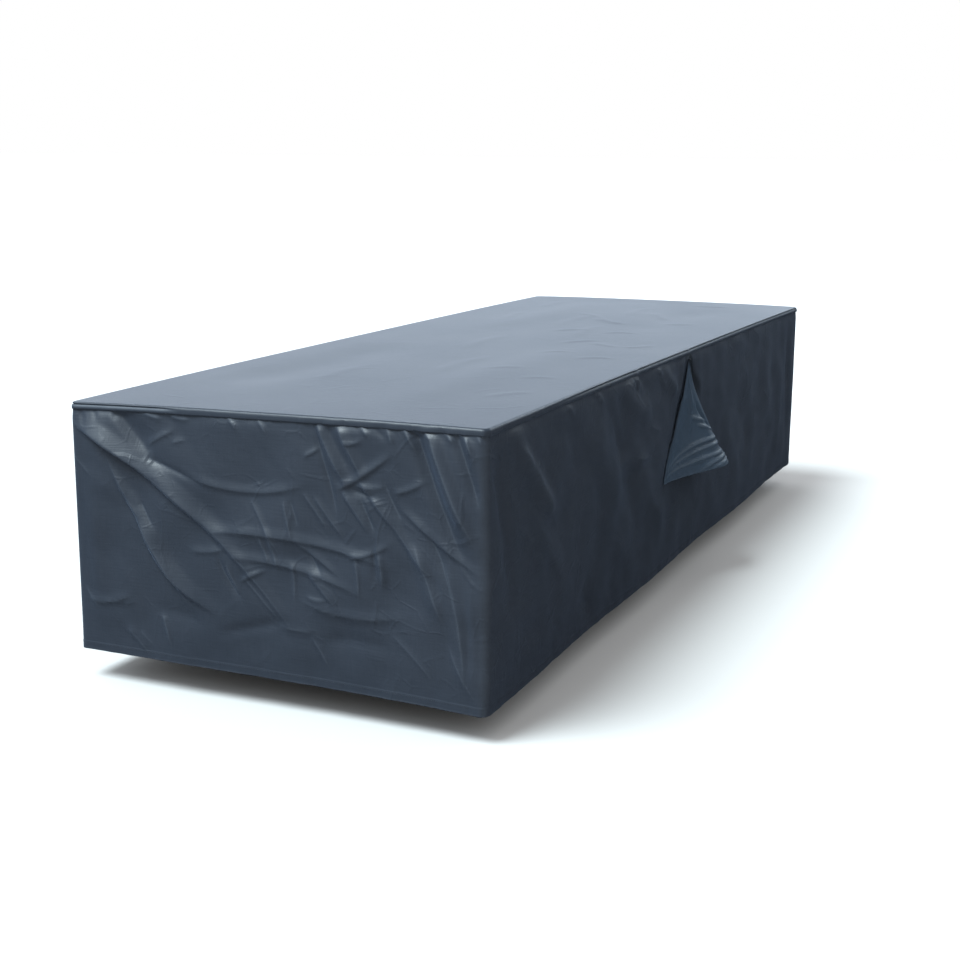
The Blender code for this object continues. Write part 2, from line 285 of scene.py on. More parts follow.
def folds_from(*rows):
    """Folds from rows of millimetres: start, bend and end, rise, right and left, then crisp."""
    return tuple(
        Fold(
            *((row[at] / 1000, row[at + 1] / 1000) for at in (0, 2, 4)),
            *(size / 1000 for size in row[6:9]),
            *row[9:],
        )
        for row in rows
    )


FOLD_STEPS = 12
FOLD_GROWS = (-0.10, 0.25)
FOLD_FADES = (0.70, 1.10)
CREASE_ROUND = 0.0008
FACET = 1.35
FACET_FOOT = 0.10
REACH = 3.0
REACH_FADES = 0.7


def fold_line(fold):
    """Points along a fold's curve, one row each."""
    t = np.linspace(0, 1, FOLD_STEPS + 1)[:, None]
    start, bend, end = (np.array(p) for p in (fold.start, fold.bend, fold.end))
    return (1 - t) ** 2 * start + 2 * t * (1 - t) * bend + t**2 * end


def fold_shape(distance, width, crisp):
    """1 on the line of a fold and 0 far from it."""
    soft = np.exp(-((distance / width) ** 2))
    flat = 1 - np.hypot(distance, CREASE_ROUND) / (FACET * width)
    flat = (flat + np.hypot(flat, FACET_FOOT)) / 2
    return soft + (flat - soft) * crisp


def nearest(line, a, b):
    """Distance to a curve, which side of it, and how far along it, for the points (a, b)."""
    best = np.full(a.shape, 1.0)
    side = np.zeros(a.shape)
    place = np.zeros(a.shape)
    for step, (p, q) in enumerate(zip(line[:-1], line[1:])):
        run = q - p
        t = np.clip(((a - p[0]) * run[0] + (b - p[1]) * run[1]) / (run @ run), 0, 1)
        away_a = a - p[0] - t * run[0]
        away_b = b - p[1] - t * run[1]
        distance = np.hypot(away_a, away_b)
        closer = distance < best
        best = np.where(closer, distance, best)
        side = np.where(closer, away_a * run[1] - away_b * run[0], side)
        place = np.where(closer, (step + t) / FOLD_STEPS, place)
    return best, side, place


def within(line, reach, a, b):
    """Which of the points (a, b) could be this near to a curve."""
    low, high = line.min(axis=0) - reach, line.max(axis=0) + reach
    return (a > low[0]) & (a < high[0]) & (b > low[1]) & (b < high[1])


def ends_of(place):
    """How a fold grows at its start and fades at its end."""
    return smooth(place, *FOLD_GROWS) * (1 - smooth(place, *FOLD_FADES))


def heights(folds, a, b):
    """How far all these folds together stand out at the points (a, b)."""
    total = np.zeros(np.shape(a))
    for fold in folds:
        line = fold_line(fold)
        reach = REACH * max(fold.right, fold.left)
        near = within(line, reach, a, b)
        distance, side, place = nearest(line, a[near], b[near])
        width = np.where(side > 0, fold.right, fold.left)
        fade = 1 - smooth(distance, REACH_FADES * reach, reach)
        shape = fold_shape(distance, width, fold.crisp)
        total[near] += fold.rise * ends_of(place) * fade * shape
    return total


CREASE_CRISP = 0.6
CREASE_WIDTH = 0.0014


def crease_marks(folds, a, b, width=CREASE_WIDTH):
    """1 on the line of a crisp fold, 0 away from it."""
    total = np.zeros(np.shape(a))
    for fold in folds:
        if fold.crisp < CREASE_CRISP:
            continue
        line = fold_line(fold)
        near = within(line, REACH * width, a, b)
        distance, _, place = nearest(line, a[near], b[near])
        mark = np.exp(-((distance / width) ** 2)) * ends_of(place)
        total[near] = np.maximum(total[near], mark)
    return total


print("a fold's top and its foot:", fold_shape(np.array([0, 0.02]), 0.01, 0.5).round(3).tolist())

# %% The folds of the foot end
FOOT_FOLDS = folds_from(
    # the long crease from the corner, with the hollow that makes the lit band above it
    (0, 4, 6, 32, 34, 55, 4.5, 10, 5, 0.8),
    (10, 36, 140, 88, 322, 233, 10, 20, 6, 0.9),
    (2, 28, 70, 62, 160, 112, 8, 36, 6, 0.9),
    (260, 180, 350, 255, 425, 345, 3.5, 12, 6, 0.8),
    (86, -12, 106, 36, 168, 82, -8, 26, 9, 0.5),
    (55, 60, 90, 110, 150, 168, -3, 12, 12, 0.1),
    # the second lit strip
    (75, 90, 132, 188, 232, 332, 5.8, 20, 5, 0.8),
    (138, 158, 150, 176, 168, 204, -2.2, 4, 4, 0.7),
    (140, 190, 172, 292, 282, 334, 7.5, 18, 5, 0.9),
    (112, 162, 126, 170, 142, 190, 1.6, 4, 3, 0.9),
    # the branch above it
    (145, 84, 205, 100, 262, 123, -2.6, 6, 5, 0.8),
    (230, 108, 350, 146, 452, 106, 3.2, 9, 5, 0.8),
    (155, 64, 180, 50, 210, 36, 2.2, 6, 4, 0.9),
    (205, 58, 216, 52, 232, 52, 1.2, 4, 4, 0.9),
    # two level creases in the middle
    (275, 198, 430, 182, 600, 222, 3.8, 11, 5, 0.8),
    (318, 236, 440, 232, 560, 274, 3, 9, 5, 0.8),
    (440, 292, 530, 322, 625, 296, 3, 10, 6, 0.8),
    (525, 214, 560, 212, 602, 184, 2.8, 7, 4, 0.9),
    (290, 214, 400, 216, 520, 236, -2.2, 14, 14, 0),
    (235, 232, 270, 236, 305, 222, 2.2, 7, 5, 0.8),
    (288, 236, 300, 272, 332, 306, -2.8, 5, 6, 0.8),
    (305, 250, 316, 276, 330, 296, 1.8, 4, 4, 0.9),
    (330, 274, 350, 262, 378, 250, 2.4, 5, 4, 0.9),
    (338, 268, 362, 292, 400, 330, 1.8, 5, 4, 0.9),
    # upright and slanting slashes across them
    (352, 140, 378, 176, 404, 226, 2.2, 5, 4, 0.9),
    (366, 196, 374, 216, 384, 240, 1.8, 4, 4, 0.9),
    (384, 200, 394, 222, 400, 246, 2, 4, 4, 0.9),
    (412, 134, 420, 160, 428, 200, 2.2, 4, 4, 0.9),
    (424, 132, 432, 150, 438, 174, -2, 4, 4, 0.8),
    (426, 232, 430, 262, 428, 300, 1.8, 4, 4, 0.9),
    (436, 200, 468, 218, 512, 246, 3.4, 7, 4, 0.9),
    (446, 200, 462, 226, 480, 250, -2.2, 5, 5, 0.7),
    (456, 248, 476, 266, 504, 296, 3.4, 8, 4, 0.9),
    (452, 284, 468, 292, 488, 286, 1.8, 4, 4, 0.9),
    (540, 214, 546, 242, 546, 276, 2.4, 4, 5, 0.9),
    (448, 118, 474, 148, 492, 176, 2.2, 5, 4, 0.9),
    # the streaks below the seam, right of the middle
    (470, 4, 484, 40, 530, 108, 5.6, 10, 5, 0.9),
    (472, 34, 492, 82, 508, 150, -3.4, 5, 6, 0.6),
    (488, 10, 506, 44, 532, 82, -3.4, 8, 8, 0.2),
    (507, 8, 530, 50, 556, 92, 4.8, 10, 5, 0.9),
    (518, 36, 534, 40, 552, 30, 2, 4, 4, 0.9),
    (450, 62, 462, 58, 476, 48, 2, 4, 3, 0.9),
    (468, 122, 492, 154, 522, 186, 3, 6, 5, 0.9),
    # the star where they meet
    (508, 108, 540, 98, 606, 46, 3.6, 8, 4, 0.9),
    (540, 98, 562, 106, 592, 98, 2, 5, 4, 0.9),
    (545, 90, 575, 126, 610, 162, 4.2, 9, 4, 0.9),
    (518, 112, 540, 138, 566, 172, 4.2, 8, 4, 0.9),
    (530, 106, 556, 116, 580, 116, -3, 6, 6, 0.6),
    (548, 118, 560, 140, 574, 170, -2.4, 4, 4, 0.7),
    (606, 106, 628, 104, 660, 84, 2.4, 6, 4, 0.9),
    (590, 90, 600, 120, 622, 150, -2.2, 6, 5, 0.6),
    (580, 196, 588, 226, 586, 256, 4.2, 8, 5, 0.9),
    (572, 190, 574, 226, 572, 250, -2, 4, 4, 0.5),
    (602, 150, 640, 200, 672, 226, 3.4, 8, 5, 0.9),
    # the folds beside the soft corner
    (640, 4, 664, 80, 722, 198, -8, 14, 11, 0.6),
    (660, 2, 694, 85, 742, 175, 10.5, 11, 16, 0.7),
    (706, 6, 728, 56, 748, 118, -6, 9, 8, 0.6),
    (618, 128, 680, 176, 750, 216, 3.6, 8, 4, 0.9),
    (640, 176, 668, 240, 692, 300, 6.2, 11, 15, 0.7),
    (662, 160, 700, 210, 716, 300, -4.4, 10, 9, 0.6),
    (690, 200, 720, 270, 726, 400, 6.5, 10, 16, 0.7),
    (734, 230, 742, 320, 738, 410, 2.6, 7, 6, 0.5),
    (700, 330, 716, 372, 746, 412, 1.8, 5, 5, 0.8),
    # low on the left and near the hem
    (24, 336, 64, 350, 118, 322, 3, 9, 5, 0.8),
    (20, 318, 34, 340, 50, 352, 1.6, 4, 4, 0.9),
    (104, 382, 124, 398, 146, 424, 4.2, 10, 5, 0.8),
    (130, 384, 140, 396, 158, 408, 1.6, 4, 4, 0.8),
    (176, 348, 186, 376, 192, 404, 2.2, 5, 5, 0.8),
    (160, 344, 210, 340, 262, 352, -2, 12, 12, 0),
    (290, 366, 350, 350, 412, 332, -3, 9, 8, 0.4),
    (460, 352, 475, 370, 488, 398, 2, 5, 4, 0.8),
    (400, 338, 430, 346, 470, 338, 1.8, 6, 5, 0.8),
    (480, 356, 530, 342, 600, 352, -2.2, 10, 9, 0.2),
    (600, 326, 640, 352, 672, 390, 2, 6, 5, 0.8),
    (0, 85, 18, 102, 44, 124, 1.8, 5, 4, 0.9),
    (30, 160, 55, 250, 50, 330, 2.5, 22, 20, 0),
    # short pleats below the tight seam
    (20, 4, 24, 14, 34, 34, -2.2, 4, 4, 0.2),
    (46, 2, 52, 12, 60, 28, -1.8, 4, 4, 0.2),
    (88, 4, 92, 12, 94, 26, -2, 4, 4, 0.2),
    (150, 10, 164, 18, 186, 20, 2.4, 6, 5, 0.6),
    (200, 12, 216, 20, 240, 18, 2.2, 6, 5, 0.6),
    (306, 4, 316, 14, 330, 30, 2, 4, 4, 0.6),
    (360, 6, 372, 14, 384, 34, 1.6, 4, 4, 0.6),
    (545, 4, 552, 14, 566, 26, 2.6, 5, 4, 0.6),
    (568, 4, 580, 14, 590, 28, -2.2, 4, 4, 0.4),
    (590, 4, 598, 16, 604, 36, 2.6, 5, 4, 0.6),
    (618, 2, 628, 18, 644, 44, 3.2, 5, 4, 0.6),
    (630, 2, 638, 12, 648, 24, -2.6, 3, 4, 0.4),
    (648, 2, 656, 10, 668, 22, 3, 4, 4, 0.6),
    (684, 2, 694, 12, 706, 26, 3, 4, 4, 0.6),
    (696, 2, 706, 8, 716, 18, -2.6, 3, 3, 0.4),
    (716, 2, 726, 16, 736, 42, 3.4, 4, 5, 0.6),
    (738, 4, 744, 12, 752, 24, 2, 4, 4, 0.6),
)
print(len(FOOT_FOLDS), "folds on the foot end")

# %% The folds of the long side with the vent
VENT_SIDE_FOLDS = folds_from(
    (45, 30, 60, 140, 100, 300, -7, 20, 24),
    (100, 30, 190, 110, 270, 175, 9, 18, 24, 0.3),
    (140, 150, 240, 220, 330, 290, 5, 22, 20, 0.3),
    (440, 60, 560, 180, 680, 330, 6, 50, 45),
    (560, 40, 640, 160, 730, 330, -7, 40, 40),
    (620, 30, 700, 75, 800, 100, 7, 28, 22, 0.3),
    (600, 158, 680, 172, 780, 180, 4, 20, 16, 0.5),
    (740, 200, 800, 270, 890, 340, 6, 32, 28, 0.2),
    (870, 25, 920, 55, 970, 80, 6, 18, 18, 0.4),
    (1240, 300, 1280, 350, 1300, 400, 5, 26, 30),
    (1340, 180, 1420, 280, 1500, 350, 7, 36, 36),
    (1450, 150, 1540, 230, 1620, 300, -5, 36, 36),
    (1700, 60, 1740, 200, 1820, 300, 6, 45, 34),
    (1860, 80, 1900, 220, 1930, 400, 5, 36, 36),
    (1985, 20, 2000, 150, 2020, 380, -6, 26, 26),
    (420, 340, 460, 380, 470, 425, -6, 30, 30),
    # finer creases
    (118, 48, 140, 62, 160, 85, 2.5, 8, 8, 0.7),
    (172, 92, 210, 130, 262, 178, 3, 8, 7, 0.8),
    (30, 60, 50, 110, 75, 172, -3, 10, 10, 0.3),
    (130, 165, 150, 185, 178, 205, 1.5, 8, 7, 0.8),
    (230, 220, 290, 270, 330, 310, 1.5, 10, 10, 0.6),
    (780, 115, 820, 130, 862, 142, 1.8, 8, 7, 0.8),
    (700, 165, 740, 175, 790, 178, 1.8, 7, 6, 0.8),
    (560, 30, 600, 70, 640, 140, 3, 16, 16, 0.2),
    (700, 12, 715, 30, 740, 50, 3, 9, 9, 0.5),
    (690, 12, 690, 30, 680, 60, -3, 8, 8, 0.3),
    (550, 260, 600, 310, 640, 350, 2, 20, 18, 0.2),
    (780, 260, 830, 290, 870, 320, 2, 10, 10, 0.5),
    (450, 360, 470, 385, 478, 412, -2.5, 12, 10, 0.4),
    (570, 380, 590, 392, 600, 412, -2, 10, 10, 0.3),
    (1100, 300, 1130, 330, 1200, 360, 2, 18, 18, 0.2),
    (1500, 80, 1560, 130, 1600, 200, 3, 26, 24, 0),
    (1640, 180, 1680, 215, 1720, 232, 2, 12, 12, 0.5),
    (1740, 180, 1780, 200, 1830, 180, 2, 12, 12, 0.4),
    (1760, 240, 1790, 270, 1800, 310, -3, 16, 16, 0),
    (1880, 100, 1870, 260, 1885, 400, -2.5, 14, 14, 0.1),
    (1960, 90, 1975, 240, 1965, 410, 3, 14, 12, 0.2),
    (2030, 60, 2040, 200, 2045, 360, 2.5, 10, 12, 0.2),
    (694, 6, 700, 20, 706, 42, 4.5, 5, 5, 0.8),
    (706, 6, 712, 16, 722, 28, -3, 4, 5, 0.5),
    (672, 8, 676, 18, 686, 34, 2.5, 5, 5, 0.7),
    (330, 10, 345, 20, 362, 36, 2, 6, 6, 0.6),
    (480, 10, 495, 20, 510, 40, 2.5, 6, 6, 0.6),
    (836, 12, 856, 36, 890, 60, 3, 7, 7, 0.7),
    # where the hood's seams pull
    (1044, 6, 1046, 14, 1047, 40, 3, 4, 4, 0.8),
    (1036, 10, 965, 140, 870, 268, -4.5, 7, 7),
    (1052, 10, 1078, 70, 1118, 122, -4, 6, 6),
    (1020, 12, 995, 50, 975, 90, 3, 12, 10, 0.3),
)
print(len(VENT_SIDE_FOLDS), "folds on the long side")

# %% The folds of the far sides and of the top
FAR_FOLDS = folds_from(
    (130, 40, 200, 200, 240, 390, 7, 40, 40),
    (480, 60, 520, 220, 500, 410, -6, 45, 45),
    (860, 50, 1000, 200, 1060, 380, 8, 60, 50),
    (1350, 60, 1300, 220, 1330, 400, 7, 55, 60),
    (1820, 50, 1760, 180, 1700, 380, -6, 60, 60),
    (2300, 40, 2380, 200, 2420, 400, 8, 60, 55),
    (60, 20, 140, 80, 260, 150, 3, 12, 10, 0.7),
    (300, 120, 420, 160, 560, 140, 2.5, 10, 9, 0.7),
    (600, 240, 660, 300, 700, 380, 2.5, 12, 10, 0.6),
    (900, 180, 1060, 200, 1180, 260, 2.5, 12, 10, 0.6),
    (1120, 60, 1200, 110, 1260, 180, 2.5, 12, 12, 0.6),
    (1480, 150, 1600, 200, 1660, 290, 2.5, 14, 12, 0.5),
    (1950, 40, 2020, 120, 2100, 160, 3, 14, 12, 0.5),
    (2120, 240, 2220, 280, 2280, 360, 2.5, 12, 12, 0.6),
    (2560, 30, 2640, 110, 2760, 150, 3.5, 16, 12, 0.5),
    (2500, 220, 2620, 240, 2740, 300, 2.5, 12, 10, 0.6),
)
TOP_FOLDS = folds_from(
    (-900, -180, -450, -120, -50, -200, 3, 70, 60),
    (150, 180, 520, 100, 900, 160, 4, 70, 70),
    (250, -220, 500, -120, 840, -240, -3, 60, 60),
    (-800, 240, -450, 160, -150, 240, -4.5, 70, 70),
)
TOP_CREASES = folds_from(
    (100, -100, 200, -60, 320, -70, 1.4, 16, 14, 0.4),
    (300, 20, 420, 50, 560, 20, 1.4, 16, 16, 0.4),
    (600, -60, 700, -20, 800, -50, 1.4, 16, 14, 0.4),
    (-200, 40, -60, 80, 60, 50, 1.2, 18, 18, 0.3),
    (-550, -60, -420, -30, -300, -60, 1.2, 18, 16, 0.4),
    (-700, 100, -600, 130, -480, 110, 1.2, 18, 16, 0.3),
    (700, 220, 800, 250, 900, 230, 1.4, 18, 16, 0.3),
    # short ones across the line of sight
    (580, 70, 548, 22, 445, -42, 1.9, 12, 16, 0.8),
    (480, 0, 402, -68, 379, -110, 2.3, 12, 18, 0.8),
    (380, 190, 475, 219, 560, 225, 1.5, 12, 14, 0.6),
    (660, -90, 599, -134, 528, -167, 1.9, 12, 14, 0.8),
    (920, -130, 885, -191, 930, -220, 1.5, 12, 12, 0.7),
    (-40, -110, 31, -128, 35, -170, 1.6, 10, 14, 0.8),
    (-10, -170, -36, -204, -60, -240, 1.6, 10, 12, 0.8),
    (180, -130, 228, -159, 200, -200, 1.5, 10, 12, 0.8),
    (-50, -250, -48, -288, 16, -300, 1.5, 10, 10, 0.7),
    (-220, -130, -172, -147, -189, -185, 1.4, 9, 12, 0.8),
    (-480, -125, -439, -148, -443, -190, 1, 9, 12, 0.7),
    (-560, -235, -517, -253, -540, -290, 1, 9, 10, 0.7),
    (-270, -230, -225, -251, -229, -295, 1.4, 9, 10, 0.7),
    (460, -185, 419, -229, 458, -265, 1.5, 10, 12, 0.8),
    (180, -10, 240, -30, 217, -75, 1.5, 10, 14, 0.8),
    (-780, -260, -726, -274, -700, -310, 1, 8, 10, 0.7),
)
print(len(FAR_FOLDS), "folds on the far sides and", len(TOP_FOLDS + TOP_CREASES), "on the top")


# %% [markdown]
# ## The skirt's surface
#
# The skirt starts tucked behind the turned-down edge of the top, comes forward below it, bellies a
# little and sways at its hem, and the folds and a low unevenness are added to that. Its hem is the
# cloth turned up twice and stitched, so the last strip stands out a little, lies calmer than the cloth
# above it, and ripples where the stitches pull it.

# %% Height of the top and depth of the skirt
TOP_FOLD_ENDS_X = (0.86, 1.02)
TOP_FOLD_ENDS_Y = (0.27, 0.36)
TOP_FOLD_START = (0.03, 0.20)


def top_height(x, y, creases=()):
    """How high the top's cloth is at (x, y)."""
    sag = EDGE_SAG * (abs(2 * x / LENGTH) ** SAG_POWER + abs(2 * y / WIDTH) ** SAG_POWER)
    lift = sum(corner.lift * share(corner, x, y) for corner in CORNERS)
    inside = (1 - smooth(abs(x), *TOP_FOLD_ENDS_X)) * (1 - smooth(abs(y), *TOP_FOLD_ENDS_Y))
    folds = heights(TOP_FOLDS, x, y) * inside * smooth(np.hypot(x, y), *TOP_FOLD_START)
    return SOLID_CLOTH / 2 - sag + lift + folds + heights(creases, x, y)


def skirt_length(x, y):
    """How deep the skirt hangs below (x, y), as its corners are uneven."""
    return DROP + sum(corner.extra * share(corner, x, y) for corner in CORNERS)


print("the top's middle is at", round(float(top_height(np.zeros(1), np.zeros(1))[0]), 4))


# %% The skirt's folds, hem and ripples
HEM_DEPTH = 0.014
HEM_RISE = 0.0004
HEM_EDGE = 0.0014
STITCH_PITCH = 0.0034
RIPPLES = ((0.031, 0.00018), (0.053, 0.00025), (0.097, 0.00030))
TUCK_RUN = (0.0114, 0.0300)
DEEP_TUCK = 1.3
DEEP_TUCK_RUN = (0.0060, 0.0090)
LOOSE_RUN = (0.008, 0.021)
CALM_HEM = 0.07
CALM_SHARE = 0.7


def shifted(folds, around):
    """The folds of one side, moved to where that side starts."""

    def move(point):
        return (point[0] + around, point[1])

    return tuple(
        fold._replace(start=move(fold.start), bend=move(fold.bend), end=move(fold.end))
        for fold in folds
    )


NEAR_FOLDS = FOOT_FOLDS + shifted(VENT_SIDE_FOLDS, VENT_SIDE)
ROUND_FOLDS = shifted(FAR_FOLDS, HEAD_END)


def wave(along, pitch, phase=0.0):
    """A sine wave that repeats after each pitch."""
    return np.sin(2 * pi * along / pitch + phase)


def ripple(around):
    """A small uneven wave, as a row of tight stitches makes."""
    return sum(size * wave(around, pitch, 7 * pitch) for pitch, size in RIPPLES)


RUMPLE_SEED = 7
RUMPLE_WAVES = 14
RUMPLE_PITCH = (0.045, 0.16)
RUMPLE_DEPTH = 0.0034
RUMPLE_BEND = 0.015
RUMPLE_BEND_PITCH = 2.3


def rumple_waves():
    """Waves of uneven pitch and heading, the same ones each time."""
    chance = np.random.RandomState(RUMPLE_SEED)
    for _ in range(RUMPLE_WAVES):
        pitch = chance.uniform(*RUMPLE_PITCH)
        heading = chance.uniform(0, pi)
        yield pitch, heading, chance.uniform(0, 2 * pi)


def rumple(around, down):
    """Low, soft unevenness all over the cloth."""
    total = 0.0
    for pitch, heading, phase in rumple_waves():
        along = around * cos(heading) + down * sin(heading)
        bent = along + RUMPLE_BEND * wave(around - down, RUMPLE_BEND_PITCH * pitch)
        total = total + pitch * wave(bent, pitch, phase)
    return RUMPLE_DEPTH * total


def skirt_out(around, down, far_piece):
    """How far the skirt stands out from its outline."""
    tucked = 1 - smooth(down, *TUCK_RUN) + DEEP_TUCK * (1 - smooth(down, *DEEP_TUCK_RUN))
    loose = smooth(down, *LOOSE_RUN)
    start, end = (HEAD_END, GIRTH) if far_piece else (FOOT_END, HEAD_END)
    seams = smooth(around, start, start + SEAM_REACH) * (1 - smooth(around, end - SEAM_REACH, end))
    belly = BELLY * np.sin(pi * np.minimum(down / DROP, 1.0))
    sway = SWAY * wave(around, SWAY_PITCH) * smooth(down, SWAY_START, DROP)
    folds = heights(ROUND_FOLDS if far_piece else NEAR_FOLDS, around, down)
    hem = smooth(down, DROP - HEM_DEPTH - HEM_EDGE / 2, DROP - HEM_DEPTH + HEM_EDGE / 2)
    pulled = ripple(around) * smooth(down, DROP - 3 * HEM_DEPTH, DROP - HEM_DEPTH)
    calm = 1 - CALM_SHARE * smooth(down, DROP - CALM_HEM, DROP)
    slack = seams * loose * (belly + sway + calm * (folds + rumple(around, down)))
    return -TUCK * tucked + slack + HEM_RISE * hem + pulled


def skirt_points(around, down, out=0.0, far_piece=False):
    """Points on the skirt, or this far outside it."""
    place, outwards = rim(around, SOLID_CLOTH / 2)
    x, y = place[..., 0], place[..., 1]
    z = top_height(x, y) - down * skirt_length(x, y) / DROP
    reach = skirt_out(around, down, far_piece) + out
    return np.concatenate([place + outwards * reach[..., None], z[..., None]], axis=-1)


test_point = skirt_points(np.array([0.38]), np.array([0.20]))
print("a point in the middle of the foot end:", test_point.round(3).tolist())

# %% [markdown]
# ## Cloth, thread and their finish
#
# The cloth is polyester with a thin coat on its inner side. From near it shows a plain weave of fine
# threads, and from further off a satin sheen that is palest at a grazing angle. The weave is a product
# of two waves on the cloth's own measure in metres, so that it follows the cloth round corners and into
# folds. Its threads aren't all as thick, which shows as fine streaks both ways: a noise drawn out along
# the cloth, and again across it. The colour is dark blue with soft cloudy changes.
#
# The coat keeps short sharp crinkles from its bag. They are the edges of Voronoi cells, which are
# straight and meet at corners as creases do, and they are kept only where a noise is high. The top is
# stretched, so they are shallower there. Two marks on the vertices change the colour. One makes it
# paler at the turned edge, the hem and the sharpest creases: real wear at the hem, the corners and the
# hood's mouth, and painted highlight along the sharpest creases and on the ledge of the turned edge.
# The other is painted shade: it darkens the cloth beside the hood's seams, which draw it in.


# %% A small language for shaders
class Wire:
    """An output of a node that can stand in a sum or a product."""

    def __init__(self, finish, socket):
        self.finish = finish
        self.socket = socket

    def maths(self, operation, a, b):
        return self.finish.node("ShaderNodeMath", {"operation": operation}, {0: a, 1: b})

    def sine(self):
        return self.finish.node("ShaderNodeMath", {"operation": "SINE"}, {0: self})

    def clamped(self):
        return self.finish.node("ShaderNodeClamp", {}, {0: self})

    def __add__(self, other):
        return self.maths("ADD", self, other)

    __radd__ = __add__

    def __mul__(self, other):
        return self.maths("MULTIPLY", self, other)

    __rmul__ = __mul__

    def __sub__(self, other):
        return self.maths("SUBTRACT", self, other)

    def __rsub__(self, other):
        return self.maths("SUBTRACT", other, self)


class Finish:
    """A material, with its shader and one way to add any other node."""

    def __init__(self, name):
        self.material = bpy.data.materials.new(name)
        self.material.use_nodes = True
        self.tree = self.material.node_tree
        self.shader = self.tree.nodes["Principled BSDF"]

    def join(self, socket, value):
        if isinstance(value, Wire):
            self.tree.links.new(value.socket, socket)
        else:
            socket.default_value = value

    def node(self, kind, settings, inputs, output=0):
        made = self.tree.nodes.new(kind)
        for name, value in settings.items():
            setattr(made, name, value)
        for name, value in inputs.items():
            self.join(made.inputs[name], value)
        return Wire(self, made.outputs[output])

    def mix(self, factor, first, second):
        return self.node(
            "ShaderNodeMix", {"data_type": "RGBA"}, {0: factor, 6: first, 7: second}, output=2
        )

    def noise(self, where, scale, detail=2.0, rough=0.5, output=0):
        inputs = {"Vector": where, "Scale": scale, "Detail": detail, "Roughness": rough}
        return self.node("ShaderNodeTexNoise", {}, inputs, output)

    def place(self):
        """Where a point is in the shared frame."""
        return self.node("ShaderNodeTexCoord", {}, {}, output="Object")

    def mark(self, name):
        """A value that each vertex keeps."""
        return self.node("ShaderNodeAttribute", {"attribute_name": name}, {}, output="Fac")

    def split(self, vector):
        """The three parts of a vector."""
        parts = self.node("ShaderNodeSeparateXYZ", {}, {0: vector}).socket.node
        return [Wire(self, output) for output in parts.outputs]

    def feed(self, **inputs):
        for name, value in inputs.items():
            self.join(self.shader.inputs[name.replace("_", " ")], value)


print("shader maths ready")

# %% The cloth's finish
THREAD_PITCH = 0.0011
WEAVE_DEPTH = 0.00006
SLUB_DEPTH = 0.00020
SLUB_SCALES = (22, 300)
CRUMPLE_DEPTH = 0.0007
COARSE_CRINKLES = (8.0, 0.005, 19.0)
FINE_CRINKLES = (19.0, 0.003, 27.0)
FINE_SHARE = 0.5
GAP_GAIN = 8
GAP_CUT = 3.8
CRUMPLE_ON_TOP = 0.5
TOP_STARTS = -0.016
TOP_SHARPNESS = 200
BEND_SIZE = (0.12, 0.12, 0.12)
CLOUDY_TONE, WEAVE_TONE, SLUB_TONE, TONE_CUT = 0.7, 0.1, 0.4, 0.2
# How much the wear-and-highlight mark paints the cloth paler, evenly and in spots.
EVEN_WEAR_AND_HIGHLIGHT, SPOTTY_WEAR_AND_HIGHLIGHT = 0.35, 0.5
# Painted shade: the near-black that the cloth is painted beside the hood's seams, and how much of it.
SEAM_SHADOW = (0.003, 0.004, 0.006, 1)
PAINTED_SHADE_SHARE = 0.85
SHEEN_TINT = (0.45, 0.62, 0.95, 1)


def weave_of(cloth, measure):
    """Warp over weft, from 0 to 1."""
    across, down, _ = cloth.split(measure)
    warp = (across * (pi / THREAD_PITCH)).sine()
    weft = (down * (pi / THREAD_PITCH)).sine()
    return warp * weft * 0.5 + 0.5


def slubs_of(cloth, measure):
    """Threads of uneven thickness, both ways."""

    def drawn_out(across, down):
        scaled = cloth.node(
            "ShaderNodeVectorMath", {"operation": "MULTIPLY"}, {0: measure, 1: (across, down, 0)}
        )
        return cloth.noise(scaled, 1.0)

    return drawn_out(*SLUB_SCALES) + drawn_out(*reversed(SLUB_SCALES))


def crumple_of(cloth, place, patches):
    """Short straight crinkles in patches, from 0 to 1."""
    drift = cloth.noise(place, 5.0, output="Color")
    bent = cloth.node(
        "ShaderNodeVectorMath", {"operation": "MULTIPLY_ADD"}, {0: drift, 1: BEND_SIZE, 2: place}
    )

    def crinkles(scale, width, gaps):
        """The edges of cells, broken up by a noise of its own scale."""
        edge = cloth.node(
            "ShaderNodeTexVoronoi",
            {"feature": "DISTANCE_TO_EDGE"},
            {"Vector": bent, "Scale": scale},
        )
        line = (1 - edge * (1 / (scale * width))).clamped()
        return line * (cloth.noise(place, gaps) * GAP_GAIN - GAP_CUT).clamped()

    lines = crinkles(*COARSE_CRINKLES) + crinkles(*FINE_CRINKLES) * FINE_SHARE
    height = cloth.split(place)[2]
    on_top = ((height - TOP_STARTS) * TOP_SHARPNESS).clamped()
    return lines * patches * (1 - on_top * (1 - CRUMPLE_ON_TOP))


